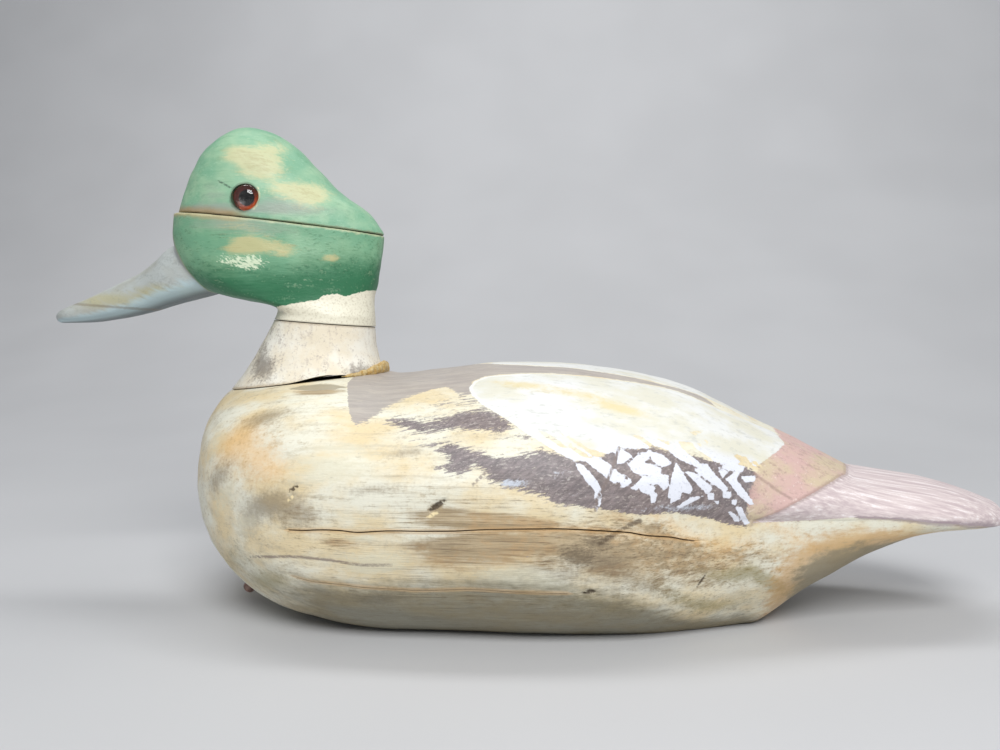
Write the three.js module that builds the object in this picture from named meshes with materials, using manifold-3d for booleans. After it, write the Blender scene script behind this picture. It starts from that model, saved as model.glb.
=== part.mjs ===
// A duck decoy: a carved body with its tail, a neck block, a head built from two boards with the bill on the
// lower one, two glass eyes and a line peg.
// Millimetres, +Z up. The bill points to -X and the tail to +X. The origin is on the underside, under the
// middle of the length.
import * as THREE from "three";
import { mergeVertices } from "three/addons/utils/BufferGeometryUtils.js";
import Module from "manifold-3d";

const wasm = await Module();
wasm.setup();
const { Manifold, Mesh } = wasm;

// Driving dimensions
const LENGTH = 432; // bill tip to tail tip
const TAIL_X = LENGTH / 2;
const BREAST_X = -142; // foremost point of the body
const BREAST_Z = 57;
const BODY_HALF_WIDTH = 76;
const BACK_Z = 110; // crest of the back
const FLAT_DEPTH = 8; // planed off the round bottom
const RUMP_END_X = 151; // where the rump meets the tail, on the centre line
const RUMP_END_Z = 63.8;
const RUMP_START_X = 50;
const RUMP_SWEEP = 52; // how far forward the rump's end runs at the sides
const JOINT_GAP = 0.4; // between glued pieces
const HEAD_X = -110; // where the heights of the head's joints are taken
const SEAT = { z: 99.0, rise: 0.114 }; // neck on body
const NECK_JOINT = { z: 129.3, rise: -0.076 }; // cheek board on neck
const CROWN_JOINT = { z: 173.0, rise: -0.108 }; // crown board on cheek board
const CROWN_INSET = 2.4; // the crown board stands back at the face
const CROWN_X = -119; // the highest point of the crown
const HEAD_TOP = 215.8;
const BILL_TIP = { x: -LENGTH / 2, z: 130.3 };
const BILL_ROOT_X = -138; // inside the face
const BILL_ROOT_Z = 150;
const EYE = { x: -114.7, y: 22.4, z: 182.3, radius: 5.7, bulge: 3.2, depth: 3.4, gap: 0.3 };
const PEG = { x: -115, y: -15, z: 11.5, radius: 2.8, out: 8.5, hole: 9, droop: 48, gap: 0.3 };

// Fineness
const BODY_POINTS = 44;
const HEAD_POINTS = 36;
const BILL_POINTS = 24;
const EYE_POINTS = 28;
const PEG_POINTS = 16;

// Monotone cubic through [x, y] points, level beyond both ends
function profile(points) {
  const n = points.length;
  const slope = points.slice(1).map(([x, y], i) => (y - points[i][1]) / (x - points[i][0]));
  const tangent = points.map((_, i) => {
    if (i === 0) return slope[0];
    if (i === n - 1) return slope[n - 2];
    const [a, b] = [slope[i - 1], slope[i]];
    return a * b <= 0 ? 0 : (2 * a * b) / (a + b);
  });
  return (x) => {
    if (x <= points[0][0]) return points[0][1];
    if (x >= points[n - 1][0]) return points[n - 1][1];
    const i = points.findIndex((p) => p[0] > x) - 1;
    const [[x0, y0], [x1, y1]] = [points[i], points[i + 1]];
    const h = x1 - x0;
    const t = (x - x0) / h;
    return (
      y0 * (1 + 2 * t) * (1 - t) ** 2 +
      h * tangent[i] * t * (1 - t) ** 2 +
      y1 * t * t * (3 - 2 * t) +
      h * tangent[i + 1] * t * t * (t - 1)
    );
  };
}

// 0 at a round end, 1 from `length` inwards
function roundEnd(distance, length, power = 2) {
  const t = Math.min(1, Math.max(0, 1 - distance / length));
  return (1 - t ** power) ** (1 / power);
}

// `count` stations after `from` up to `to`, closer together at the start
function easeIn(from, to, count) {
  const eased = (i) => 1 - Math.cos((Math.PI / 2) * ((i + 1) / count));
  return Array.from({ length: count }, (_, i) => from + (to - from) * eased(i));
}

// A closed surface over rings of equal size, with a pole before the first and after the last
function skin(rings, first, last) {
  const size = rings[0].length;
  const at = (i, j) => 1 + i * size + (j % size);
  const end = 1 + rings.length * size;
  const index = [];
  for (let j = 0; j < size; j++) {
    index.push(0, at(0, j + 1), at(0, j));
    index.push(end, at(rings.length - 1, j), at(rings.length - 1, j + 1));
    for (let i = 0; i + 1 < rings.length; i++) {
      index.push(at(i, j), at(i, j + 1), at(i + 1, j));
      index.push(at(i, j + 1), at(i + 1, j + 1), at(i + 1, j));
    }
  }
  const geometry = new THREE.BufferGeometry();
  const positions = [first, ...rings.flat(), last].flat();
  geometry.setAttribute("position", new THREE.Float32BufferAttribute(positions, 3));
  geometry.setIndex(index);
  return toSolid(geometry);
}

function toSolid(geometry) {
  const bare = new THREE.BufferGeometry();
  bare.setAttribute("position", geometry.attributes.position);
  bare.setIndex(geometry.index);
  const merged = mergeVertices(bare, 1e-4);
  return new Manifold(
    new Mesh({
      numProp: 3,
      vertProperties: new Float32Array(merged.attributes.position.array),
      triVerts: new Uint32Array(merged.index.array),
    }),
  );
}

function toGeometry(solid) {
  const mesh = solid.getMesh();
  const geometry = new THREE.BufferGeometry();
  geometry.setAttribute("position", new THREE.BufferAttribute(mesh.vertProperties, 3));
  geometry.setIndex(new THREE.BufferAttribute(mesh.triVerts, 1));
  return geometry.toNonIndexed();
}

// A block over the plane that stands at `z` over HEAD_X and rises by `rise` per mm of X
function blockAbove({ z, rise }, lift = 0) {
  const box = new THREE.BoxGeometry(800, 400, 400).translate(0, 0, 200);
  const shear = new THREE.Matrix4().makeShear(0, rise, 0, 0, 0, 0);
  return toSolid(box.applyMatrix4(shear).translate(HEAD_X, 0, z + lift));
}

// An upright section, rounded above and below its widest height. The sweep bends it forward below the crest.
function section({ x, side, top, bottom, width, upperPower, lowerPower, sweep = 0, points }) {
  return Array.from({ length: points }, (_, j) => {
    const angle = (2 * Math.PI * j) / points;
    const [c, s] = [Math.cos(angle), Math.sin(angle)];
    const power = s > 0 ? upperPower : lowerPower;
    const across = Math.sign(c) * Math.abs(c) ** (2 / power);
    const rise = Math.abs(s) ** (2 / power);
    const forward = s > 0 ? sweep * (1 - rise) : sweep;
    return [x - forward, width * across, side + ((s > 0 ? top : bottom) - side) * rise];
  });
}

// Body and tail: height or half width against X
const crest = profile([
  [BREAST_X, 107], [-128.5, 105.8], [-120, 104.9], [-108, 104.1], [-85, 105.3], [-66, 105.2], [-59.5, 104.8],
  [-53, 103.9], [-33, 106.4], [-3, BACK_Z], [19, 109.6], [44, 107], [69, 102.3], [82, 98.3], [94, 92.6],
  [106.5, 85.9], [131, 74.1], [RUMP_END_X, RUMP_END_Z],
]);
const tailCrest = profile([[RUMP_END_X, RUMP_END_Z], [168, 61.4], [180, 59.8], [192, 57], [204, 53], [TAIL_X, 48]]);
const widestHeight = profile([
  [BREAST_X, BREAST_Z], [-90, 56], [-20, 58], [50, 56], [80, 53], [104, 50.3], [140, 48.4], [161, 48], [180, 46],
  [TAIL_X, 42],
]);
const keel = profile([
  [-105, -0.5], [-82, -2.5], [-62, -6.5], [-45, -FLAT_DEPTH], [80, -FLAT_DEPTH], [104, -6], [115, 1], [127, 10],
  [139, 18], [150, 26], [161, 32], [172, 37], [184, 39.5], [TAIL_X, 41],
]);
const bodyHalfWidth = profile([
  [BREAST_X, 66], [-110, 69], [-75, 74], [-40, BODY_HALF_WIDTH], [5, BODY_HALF_WIDTH], [45, 71], [90, 55],
  [125, 43.5], [160, 37], [190, 32], [TAIL_X, 27],
]);
const upperPower = profile([[-70, 2.15], [-20, 2.0], [90, 1.95], [RUMP_END_X, 1.95], [TAIL_X, 1.9]]);
const lowerPower = profile([[-150, 2.1], [-60, 2.5], [60, 2.5], [150, 2.1]]);
const BREAST_ROUND = { width: [74, 2.2], upper: [45, 2.6], lower: [62, 2.1] }; // length and power of each
const TAIL_ROUND = [26, 2.2];
const TAIL_EDGE = 1.6; // how late the tail thins towards its end

function bodyRing(x) {
  const onBody = x < RUMP_END_X;
  const sweep = RUMP_SWEEP * (onBody
    ? Math.max(0, (x - RUMP_START_X) / (RUMP_END_X - RUMP_START_X))
    : (TAIL_X - x) / (TAIL_X - RUMP_END_X));
  const sideX = x - sweep;
  const front = sideX - BREAST_X;
  const side = widestHeight(sideX);
  const tip = roundEnd(TAIL_X - x, ...TAIL_ROUND);
  const thickness = Math.min(1, TAIL_EDGE * tip);
  return section({
    x,
    side,
    top: side + ((onBody ? crest(x) : tailCrest(x)) - side) * roundEnd(front, ...BREAST_ROUND.upper) * thickness,
    bottom: side + (keel(sideX) - side) * roundEnd(front, ...BREAST_ROUND.lower) * thickness,
    width: bodyHalfWidth(sideX) * roundEnd(front, ...BREAST_ROUND.width) * tip,
    upperPower: upperPower(x),
    lowerPower: lowerPower(x),
    sweep,
    points: BODY_POINTS,
  });
}

function bodySolid() {
  const breastEnd = -66;
  const backSteps = 24;
  const tailSteps = 10;
  const stations = easeIn(BREAST_X, breastEnd, 12);
  for (let i = 1; i <= backSteps; i++) stations.push(breastEnd + (RUMP_END_X - breastEnd) * (i / backSteps));
  stations.push(...easeIn(TAIL_X, RUMP_END_X, tailSteps).slice(0, -1).reverse());
  const whole = skin(stations.map(bodyRing), [BREAST_X, 0, BREAST_Z], [TAIL_X, 0, widestHeight(TAIL_X)]);
  const floor = toSolid(new THREE.BoxGeometry(600, 300, 60).translate(0, 0, -30));
  return whole.subtract(floor).subtract(blockAbove(SEAT)).subtract(pegSolid(PEG.gap));
}

// Neck and head: X or half width against height, in planes parallel to the crown joint
const headFront = profile([
  [88, -134], [95, -129], [105.6, -122], [115, -116.4], [124, -111.9], [131, -108.3], [134.3, -107.4],
  [135.6, -110], [136.4, -117], [137.4, -127], [138.6, -137], [142, -145], [148, -151.5], [155, -155],
  [164, -156.4], [CROWN_JOINT.z - 0.15, -155.4], [CROWN_JOINT.z + 0.15, -155.4 + CROWN_INSET], [182, -150.4],
  [189.7, -147.8], [195.4, -145], [202.2, -142.2], [208.8, -139.2], [HEAD_TOP, -137],
]);
const headBack = profile([
  [88, -57], [110.3, -59.5], [116.5, -61.8], [124.7, -63.2], [134, -63.6], [143, -63.5], [152.5, -61.5],
  [166, -59.1], [CROWN_JOINT.z, -58.6], [178, -61.3], [182.3, -65], [190.2, -78], [195.9, -84.7],
  [202.1, -89.7], [208.8, -91.7], [HEAD_TOP, -94],
]);
const headHalfWidth = profile([
  [88, 36], [100, 30.5], [110, 25], [122, 21.5], [133, 21], [137, 22.5], [145, 24.6], [157, 25.2], [172, 24.4],
  [186, 22.8], [200, 20.5], [HEAD_TOP, 19],
]);
const headTaper = profile([[120, 0.05], [150, 0.2], [178, 0.3], [200, 0.15]]); // narrower at the nape
const CROWN_ROUND = 20;
const HEAD_ROUNDNESS = { along: 0.95, across: 0.9 };

function headRing(height) {
  const end = roundEnd(HEAD_TOP - height, CROWN_ROUND);
  const front = CROWN_X + (headFront(height) - CROWN_X) * end;
  const back = CROWN_X + (headBack(height) - CROWN_X) * end;
  const width = headHalfWidth(height) * end;
  return Array.from({ length: HEAD_POINTS }, (_, j) => {
    const angle = (2 * Math.PI * j) / HEAD_POINTS;
    const [c, s] = [Math.cos(angle), Math.sin(angle)];
    const along = Math.sign(c) * Math.abs(c) ** HEAD_ROUNDNESS.along;
    const across = Math.sign(s) * Math.abs(s) ** HEAD_ROUNDNESS.across * (1 - headTaper(height) * along);
    const x = (front + back) / 2 + ((back - front) / 2) * along;
    return [x, width * across, height + CROWN_JOINT.rise * (x - HEAD_X)];
  });
}

function headHeights() {
  const neck = [90, 96, 102, 107, 112, 118, 124, 129, 132.5, 134.3, 135];
  const jaw = [135.6, 136.1, 136.6, 137.2, 138, 139.2, 141, 144, 148, 152.8, 157.6, 162.4, 167.2];
  const joint = [CROWN_JOINT.z - 0.15, CROWN_JOINT.z + 0.15];
  const crown = [176, 179, 182, 186, 190, 194, 198, 202, 205.5, 208.5, 211, 213, 214.4, 215.3];
  return [...neck, ...jaw, ...joint, ...crown];
}

function headSolids() {
  const rings = headHeights().map(headRing);
  const foot = [(headFront(88) + headBack(88)) / 2, 0, 86];
  const top = [CROWN_X, 0, HEAD_TOP + CROWN_JOINT.rise * (CROWN_X - HEAD_X)];
  const carved = skin(rings, foot, top);
  const half = JOINT_GAP / 2;
  return {
    neck: carved.intersect(blockAbove(SEAT, JOINT_GAP)).subtract(blockAbove(NECK_JOINT, -half)),
    cheek: carved.intersect(blockAbove(NECK_JOINT, half)).add(billSolid()).subtract(blockAbove(CROWN_JOINT, -half)),
    crown: carved.intersect(blockAbove(CROWN_JOINT, half)).subtract(socketSolid(-1)).subtract(socketSolid(1)),
  };
}

// Bill: height or half width against X
const billTop = profile([
  [BILL_TIP.x, 132.6], [-208, 135.8], [-194, 142], [-180, 148.6], [-172.7, 152.2], [-165.7, 157.6], [-158, 163.6],
  [BILL_ROOT_X, 168],
]);
const billBottom = profile([
  [BILL_TIP.x, 127.4], [-201, 127.8], [-187, 129.4], [-173, 132.2], [-159.4, 136], [BILL_ROOT_X, 141.5],
]);
const billMiddle = profile([[BILL_TIP.x, BILL_TIP.z], [-190, 134.5], [-160, 145], [BILL_ROOT_X, BILL_ROOT_Z]]);
const billHalfWidth = profile([
  [BILL_TIP.x, 10], [-206, 11.2], [-190, 10.4], [-172, 11], [-158, 13.5], [BILL_ROOT_X, 15],
]);
const BILL_ROUND = 10;
const BILL_EDGE = 1.5; // how late the bill thins towards its tip

function billRing(x) {
  const end = roundEnd(x - BILL_TIP.x, BILL_ROUND);
  const thickness = Math.min(1, BILL_EDGE * end);
  const middle = billMiddle(x);
  return section({
    x,
    side: middle,
    top: middle + (billTop(x) - middle) * thickness,
    bottom: middle + (billBottom(x) - middle) * thickness,
    width: billHalfWidth(x) * end,
    upperPower: 2,
    lowerPower: 2.6,
    points: BILL_POINTS,
  });
}

function billSolid() {
  const rings = easeIn(BILL_TIP.x, BILL_ROOT_X, 16).map(billRing);
  return skin(rings, [BILL_TIP.x, 0, BILL_TIP.z], [BILL_ROOT_X, 0, BILL_ROOT_Z]);
}

// A body of revolution from [radius, height] points, its axis along +Y
function turned(outline, points) {
  return toSolid(new THREE.LatheGeometry(outline.map(([r, h]) => new THREE.Vector2(r, h)), points));
}

// Eyes: glass domes with a flat back, in round sockets in the crown board
function onHead(solid, side) {
  return solid.rotate([side < 0 ? 180 : 0, 0, 0]).translate([EYE.x, side * EYE.y, EYE.z]);
}

function eyeSolid(side) {
  const steps = 7;
  const dome = Array.from({ length: steps + 1 }, (_, i) => {
    const t = (Math.PI / 2) * (i / steps);
    return [EYE.radius * Math.cos(t), EYE.bulge * Math.sin(t)];
  });
  return onHead(turned([[0, -EYE.depth], [EYE.radius, -EYE.depth], ...dome], EYE_POINTS), side);
}

function socketSolid(side) {
  const [radius, depth, open] = [EYE.radius + EYE.gap, EYE.depth + EYE.gap, 20];
  return onHead(turned([[0, -depth], [radius, -depth], [radius, open], [0, open]], EYE_POINTS), side);
}

// Line peg: a short dowel with a worn end, in a hole low on the breast
function pegSolid(grow = 0) {
  const radius = PEG.radius + grow;
  const outline = [
    [0, -PEG.hole - grow], [radius, -PEG.hole - grow], [radius, PEG.out - 1.6], [0.7 * radius, PEG.out - 0.3],
    [0, PEG.out],
  ];
  return turned(outline, PEG_POINTS).rotate([0, 0, 90]).rotate([0, -PEG.droop, 0]).translate([PEG.x, PEG.y, PEG.z]);
}

const duck = new THREE.Group();
function add(name, solid, color, roughness) {
  const material = new THREE.MeshStandardMaterial({ color, roughness, metalness: 0 });
  const mesh = new THREE.Mesh(toGeometry(solid), material);
  mesh.name = name;
  duck.add(mesh);
}

const { neck, cheek, crown } = headSolids();
add("body", bodySolid(), 0xcfc5ad, 0.75);
add("neck", neck, 0xdcd8cc, 0.75);
add("head_cheek", cheek, 0x3f8f63, 0.6);
add("head_crown", crown, 0x6fa583, 0.65);
add("eye_left", eyeSolid(-1), 0x7a2d16, 0.1);
add("eye_right", eyeSolid(1), 0x7a2d16, 0.1);
add("line_peg", pegSolid(), 0x9a7468, 0.8);

export default duck;
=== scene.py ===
import math

import bpy
import numpy as np
from mathutils import Matrix, Vector


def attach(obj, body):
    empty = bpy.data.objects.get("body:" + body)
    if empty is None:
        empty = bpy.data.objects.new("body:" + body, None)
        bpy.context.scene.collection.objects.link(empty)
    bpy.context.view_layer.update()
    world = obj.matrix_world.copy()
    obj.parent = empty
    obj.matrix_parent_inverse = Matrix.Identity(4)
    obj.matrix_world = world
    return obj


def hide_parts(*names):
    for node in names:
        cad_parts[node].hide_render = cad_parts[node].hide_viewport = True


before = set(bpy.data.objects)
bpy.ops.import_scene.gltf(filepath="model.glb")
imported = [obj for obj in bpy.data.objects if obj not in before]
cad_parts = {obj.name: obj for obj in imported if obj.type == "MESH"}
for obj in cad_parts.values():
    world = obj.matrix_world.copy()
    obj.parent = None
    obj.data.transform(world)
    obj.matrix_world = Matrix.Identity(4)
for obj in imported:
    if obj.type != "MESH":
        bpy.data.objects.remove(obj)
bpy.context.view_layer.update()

MM = 0.001

# Sizes of the carving, as in the CAD model
BREAST_X = -142
BREAST_Z = 57
TAIL_X = 216
BILL_X = -216
RUMP_START_X = 50
RUMP_END_X = 151
RUMP_END_Z = 63.8
RUMP_SWEEP = 52
HEAD_X = -110
SEAT = (99.0, 0.114)
NECK_JOINT = (129.3, -0.076)
CROWN_JOINT = (173.0, -0.108)
HALF_GAP = 0.2
CROWN_X = -119
HEAD_TOP = 215.8
EYE = (-114.7, 22.4, 182.3)
EYE_RADIUS = 5.7
EYE_BULGE = 3.2
EYE_FLOOR = 19.0
PEG_START = (-115, -15, 11.5)
PEG_DROOP = math.radians(48)
PEG_RADIUS = 2.8

# Camera, in degrees and millimetres
CAMERA_AZIMUTH = 5.0
CAMERA_ELEVATION = 3.6
CAMERA_DISTANCE = 390.0
CAMERA_TARGET = (-5.094, 0.0, 103.732)
CAMERA_LENS = 30.643


# Curves and sections

def profile(points):
    """Monotone cubic through (x, y) points, level beyond both ends."""
    px, py = np.array(points, float).T
    slope = np.diff(py) / np.diff(px)
    tangent = np.concatenate([slope[:1], np.zeros(len(px) - 2), slope[-1:]])
    for i in range(1, len(px) - 1):
        a, b = slope[i - 1], slope[i]
        tangent[i] = 0 if a * b <= 0 else 2 * a * b / (a + b)

    def at(x):
        x = np.clip(np.asarray(x, float), px[0], px[-1])
        i = np.clip(np.searchsorted(px, x, side="right") - 1, 0, len(px) - 2)
        span = px[i + 1] - px[i]
        t = (x - px[i]) / span
        ends = py[i] * (1 + 2 * t) * (1 - t) ** 2 + py[i + 1] * t * t * (3 - 2 * t)
        return ends + span * t * (1 - t) * (tangent[i] * (1 - t) - tangent[i + 1] * t)

    return at


def round_end(distance, length, power=2.0):
    t = np.clip(1 - np.asarray(distance, float) / length, 0, 1)
    return (1 - t**power) ** (1 / power)


def signed_power(value, power):
    return np.sign(value) * np.abs(value) ** power


crest = profile([
    (BREAST_X, 107), (-128.5, 105.8), (-120, 104.9), (-108, 104.1), (-85, 105.3), (-66, 105.2),
    (-59.5, 104.8), (-53, 103.9), (-33, 106.4), (-3, 110), (19, 109.6), (44, 107), (69, 102.3),
    (82, 98.3), (94, 92.6), (106.5, 85.9), (131, 74.1), (RUMP_END_X, RUMP_END_Z),
])
tail_crest = profile([(RUMP_END_X, RUMP_END_Z), (168, 61.4), (180, 59.8), (192, 57), (204, 53), (TAIL_X, 48)])
widest_height = profile([
    (BREAST_X, BREAST_Z), (-90, 56), (-20, 58), (50, 56), (80, 53), (104, 50.3), (140, 48.4),
    (161, 48), (180, 46), (TAIL_X, 42),
])
keel = profile([
    (-105, -0.5), (-82, -2.5), (-62, -6.5), (-45, -8), (80, -8), (104, -6), (115, 1), (127, 10),
    (139, 18), (150, 26), (161, 32), (172, 37), (184, 39.5), (TAIL_X, 41),
])
body_half_width = profile([
    (BREAST_X, 66), (-110, 69), (-75, 74), (-40, 76), (5, 76), (45, 71), (90, 55), (125, 43.5),
    (160, 37), (190, 32), (TAIL_X, 27),
])
upper_power = profile([(-70, 2.15), (-20, 2.0), (90, 1.95), (RUMP_END_X, 1.95), (TAIL_X, 1.9)])
lower_power = profile([(-150, 2.1), (-60, 2.5), (60, 2.5), (150, 2.1)])


def rump_sweep(x):
    """How far forward of its station the widest point of a section stands."""
    if x < RUMP_END_X:
        return RUMP_SWEEP * max(0, (x - RUMP_START_X) / (RUMP_END_X - RUMP_START_X))
    return RUMP_SWEEP * (TAIL_X - x) / (TAIL_X - RUMP_END_X)


def body_section(x, angle):
    sweep = rump_sweep(x)
    side_x = x - sweep
    front = side_x - BREAST_X
    side = widest_height(side_x)
    tip = round_end(TAIL_X - x, 26, 2.2)
    thickness = min(1, 1.6 * tip)
    ridge = crest(x) if x < RUMP_END_X else tail_crest(x)
    top = side + (ridge - side) * round_end(front, 45, 2.6) * thickness
    bottom = side + (keel(side_x) - side) * round_end(front, 62, 2.1) * thickness
    width = body_half_width(side_x) * round_end(front, 74, 2.2) * tip
    c, s = np.cos(angle), np.sin(angle)
    upper = s > 0
    power = 2 / np.where(upper, upper_power(x), lower_power(x))
    rise = np.abs(s) ** power
    forward = np.where(upper, sweep * (1 - rise), sweep)
    height = side + (np.where(upper, top, bottom) - side) * rise
    return np.stack([x - forward, width * signed_power(c, power), height], -1)


head_back = profile([
    (88, -57), (110.3, -59.5), (116.5, -61.8), (124.7, -63.2), (134, -63.6), (143, -63.5),
    (152.5, -61.5), (166, -59.1), (173, -58.6), (178, -61.3), (182.3, -65), (190.2, -78),
    (195.9, -84.7), (202.1, -89.7), (208.8, -91.7), (215.8, -94),
])
cheek_front = profile([
    (88, -134), (95, -129), (105.6, -122), (115, -116.4), (124, -111.9), (131, -108.3),
    (134.3, -107.4), (135.6, -110), (136.4, -117), (137.4, -127), (138.6, -137), (142, -145),
    (148, -151.5), (155, -155), (164, -156.4), (174, -155.2),
])
crown_front = profile([
    (173.15, -153), (182, -150.4), (189.7, -147.8), (195.4, -145), (202.2, -142.2),
    (208.8, -139.2), (215.8, -137),
])
head_half_width = profile([
    (88, 36), (100, 30.5), (110, 25), (122, 21.5), (133, 21), (137, 22.5), (145, 24.6),
    (157, 25.2), (172, 24.4), (186, 22.8), (200, 20.5), (215.8, 19),
])
head_taper = profile([(120, 0.05), (150, 0.2), (178, 0.3), (200, 0.15)])


def head_section(height, front_profile, angle):
    end = round_end(HEAD_TOP - height, 20)
    front = CROWN_X + (front_profile(height) - CROWN_X) * end
    back = CROWN_X + (head_back(height) - CROWN_X) * end
    along = signed_power(np.cos(angle), 0.95)
    across = signed_power(np.sin(angle), 0.9) * (1 - head_taper(height) * along)
    x = (front + back) / 2 + (back - front) / 2 * along
    return np.stack([x, head_half_width(height) * end * across, height + CROWN_JOINT[1] * (x - HEAD_X)], -1)


bill_top = profile([
    (BILL_X, 132.6), (-208, 135.8), (-194, 142), (-180, 148.6), (-172.7, 152.2), (-165.7, 157.6),
    (-158, 163.6), (-138, 168),
])
bill_bottom = profile([(BILL_X, 127.4), (-201, 127.8), (-187, 129.4), (-173, 132.2), (-159.4, 136), (-138, 141.5)])
bill_middle = profile([(BILL_X, 130.3), (-190, 134.5), (-160, 145), (-138, 150)])
bill_half_width = profile([(BILL_X, 10), (-206, 11.2), (-190, 10.4), (-172, 11), (-158, 13.5), (-138, 15)])


def bill_section(x, angle):
    end = round_end(x - BILL_X, 10)
    thickness = min(1, 1.5 * end)
    c, s = np.cos(angle), np.sin(angle)
    power = 2 / np.where(s > 0, 2.0, 2.6)
    middle = bill_middle(x)
    edge = np.where(s > 0, bill_top(x), bill_bottom(x))
    height = middle + (edge - middle) * thickness * np.abs(s) ** power
    return np.stack([np.full_like(c, x), bill_half_width(x) * end * signed_power(c, power), height], -1)


# Meshes

def select_only(piece):
    if bpy.context.object and bpy.context.object.mode != "OBJECT":
        bpy.ops.object.mode_set(mode="OBJECT")
    bpy.ops.object.select_all(action="DESELECT")
    piece.select_set(True)
    bpy.context.view_layer.objects.active = piece


def points_of(piece):
    """The piece's points in millimetres."""
    flat = np.empty(len(piece.data.vertices) * 3, np.float32)
    piece.data.vertices.foreach_get("co", flat)
    return flat.reshape(-1, 3).astype(float) / MM


def move_points(piece, points):
    piece.data.vertices.foreach_set("co", (points * MM).astype(np.float32).ravel())
    piece.data.update()


def mark(piece, name, values):
    """Stores one value a point for the piece's paint."""
    layer = piece.data.attributes.get(name) or piece.data.attributes.new(name, "FLOAT", "POINT")
    layer.data.foreach_set("value", np.asarray(values, np.float32))


def wrap_sphere(name, surface, marks={}):
    """Adds a sphere and lays its rings onto surface[ring, column]. The first and last rings are its poles."""
    rings, columns = surface.shape[0] - 1, surface.shape[1]
    bpy.ops.object.select_all(action="DESELECT")
    bpy.ops.mesh.primitive_uv_sphere_add(segments=columns, ring_count=rings, radius=1000 * MM)
    piece = bpy.context.active_object
    piece.name = piece.data.name = name
    ball = points_of(piece) * MM
    ring = np.rint(np.arccos(np.clip(ball[:, 2], -1, 1)) * rings / math.pi).astype(int)
    column = np.rint(np.arctan2(ball[:, 1], ball[:, 0]) * columns / math.tau).astype(int) % columns
    move_points(piece, surface[ring, column])
    for layer, values in marks.items():
        mark(piece, layer, values[ring, column])
    bpy.ops.object.mode_set(mode="EDIT")
    bpy.ops.mesh.select_all(action="SELECT")
    bpy.ops.mesh.normals_make_consistent(inside=False)
    bpy.ops.object.mode_set(mode="OBJECT")
    return piece


def saw(piece, height, rise, keep_above=False):
    """Saws along the plane z = height + rise (x - HEAD_X) and closes the cut."""
    select_only(piece)
    bpy.ops.object.mode_set(mode="EDIT")
    bpy.ops.mesh.select_all(action="SELECT")
    bpy.ops.mesh.bisect(
        plane_co=Vector((HEAD_X, 0, height)) * MM,
        plane_no=Vector((-rise, 0, 1)).normalized(),
        use_fill=True, clear_outer=not keep_above, clear_inner=keep_above, threshold=0.001 * MM,
    )
    bpy.ops.object.mode_set(mode="OBJECT")


def combine(piece, tool, operation):
    select_only(piece)
    modifier = piece.modifiers.new("carve", "BOOLEAN")
    modifier.object = tool
    modifier.operation = operation
    modifier.solver = "EXACT"
    bpy.ops.object.modifier_apply(modifier="carve")
    bpy.data.objects.remove(tool)


def smooth_at(piece, chosen, repeats):
    """Smooths the chosen points only."""
    select_only(piece)
    bpy.ops.object.mode_set(mode="EDIT")
    bpy.ops.mesh.select_mode(type="VERT")
    bpy.ops.mesh.select_all(action="DESELECT")
    bpy.ops.object.mode_set(mode="OBJECT")
    piece.data.vertices.foreach_set("select", chosen)
    bpy.ops.object.mode_set(mode="EDIT")
    bpy.ops.mesh.vertices_smooth(factor=0.5, repeat=repeats)
    bpy.ops.object.mode_set(mode="OBJECT")


def soften(piece, degrees=35):
    select_only(piece)
    bpy.ops.object.shade_smooth_by_angle(angle=math.radians(degrees))


# Hand carving

def ripple(points, wavelength, seed):
    """A smooth random swell about -1 to 1, three times as long along x as across."""
    chance = np.random.default_rng(seed)
    total = 0
    for _ in range(7):
        direction = chance.normal(size=3) * (0.35, 1, 1)
        direction *= math.tau / (wavelength * np.linalg.norm(direction) * chance.uniform(0.7, 1.4))
        total = total + np.sin(points @ direction + chance.uniform(0, math.tau))
    return total / 3.2


def spots(items, x, y, noise=0.0):
    """Soft patches, each (x, y, reach along x, reach along y, strength). They add up to at most 1.2."""
    total = np.zeros_like(x)
    for px, py, rx, ry, strength in items:
        total += strength * np.exp(-(((x - px) / rx) ** 2 + ((y - py) / ry) ** 2) * 0.7)
    return np.minimum(total + noise, 1.2)


def stroke(points, x, y):
    """Distance to a line through points."""
    nearest = np.full(x.shape, 1e3)
    for (ax, ay), (bx, by) in zip(points, points[1:]):
        dx, dy = bx - ax, by - ay
        t = np.clip(((x - ax) * dx + (y - ay) * dy) / (dx * dx + dy * dy), 0, 1)
        nearest = np.minimum(nearest, np.hypot(x - ax - t * dx, y - ay - t * dy))
    return nearest


def tapered(start, end, half, x, y):
    """How far inside a stroke that is half wide at its middle and pointed at both ends."""
    dx, dy = end[0] - start[0], end[1] - start[1]
    t = ((x - start[0]) * dx + (y - start[1]) * dy) / (dx * dx + dy * dy)
    return half * (1 - (2 * t - 1) ** 2) - stroke([start, end], x, y)


def inside(outline, x, y):
    """Distance inside a closed outline, negative outside."""
    odd = np.zeros(x.shape, bool)
    for (ax, ay), (bx, by) in zip(outline, outline[1:] + outline[:1]):
        if ay != by:
            odd ^= ((ay > y) != (by > y)) & (x < (bx - ax) * (y - ay) / (by - ay) + ax)
    return np.where(odd, 1, -1) * stroke(outline + outline[:1], x, y)


def cover(distance, softness):
    """How far a paint covers: below 0 none, above 1 all, and the shader frays what is between."""
    return np.clip(0.5 + distance / softness, -0.8, 1.8)


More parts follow.
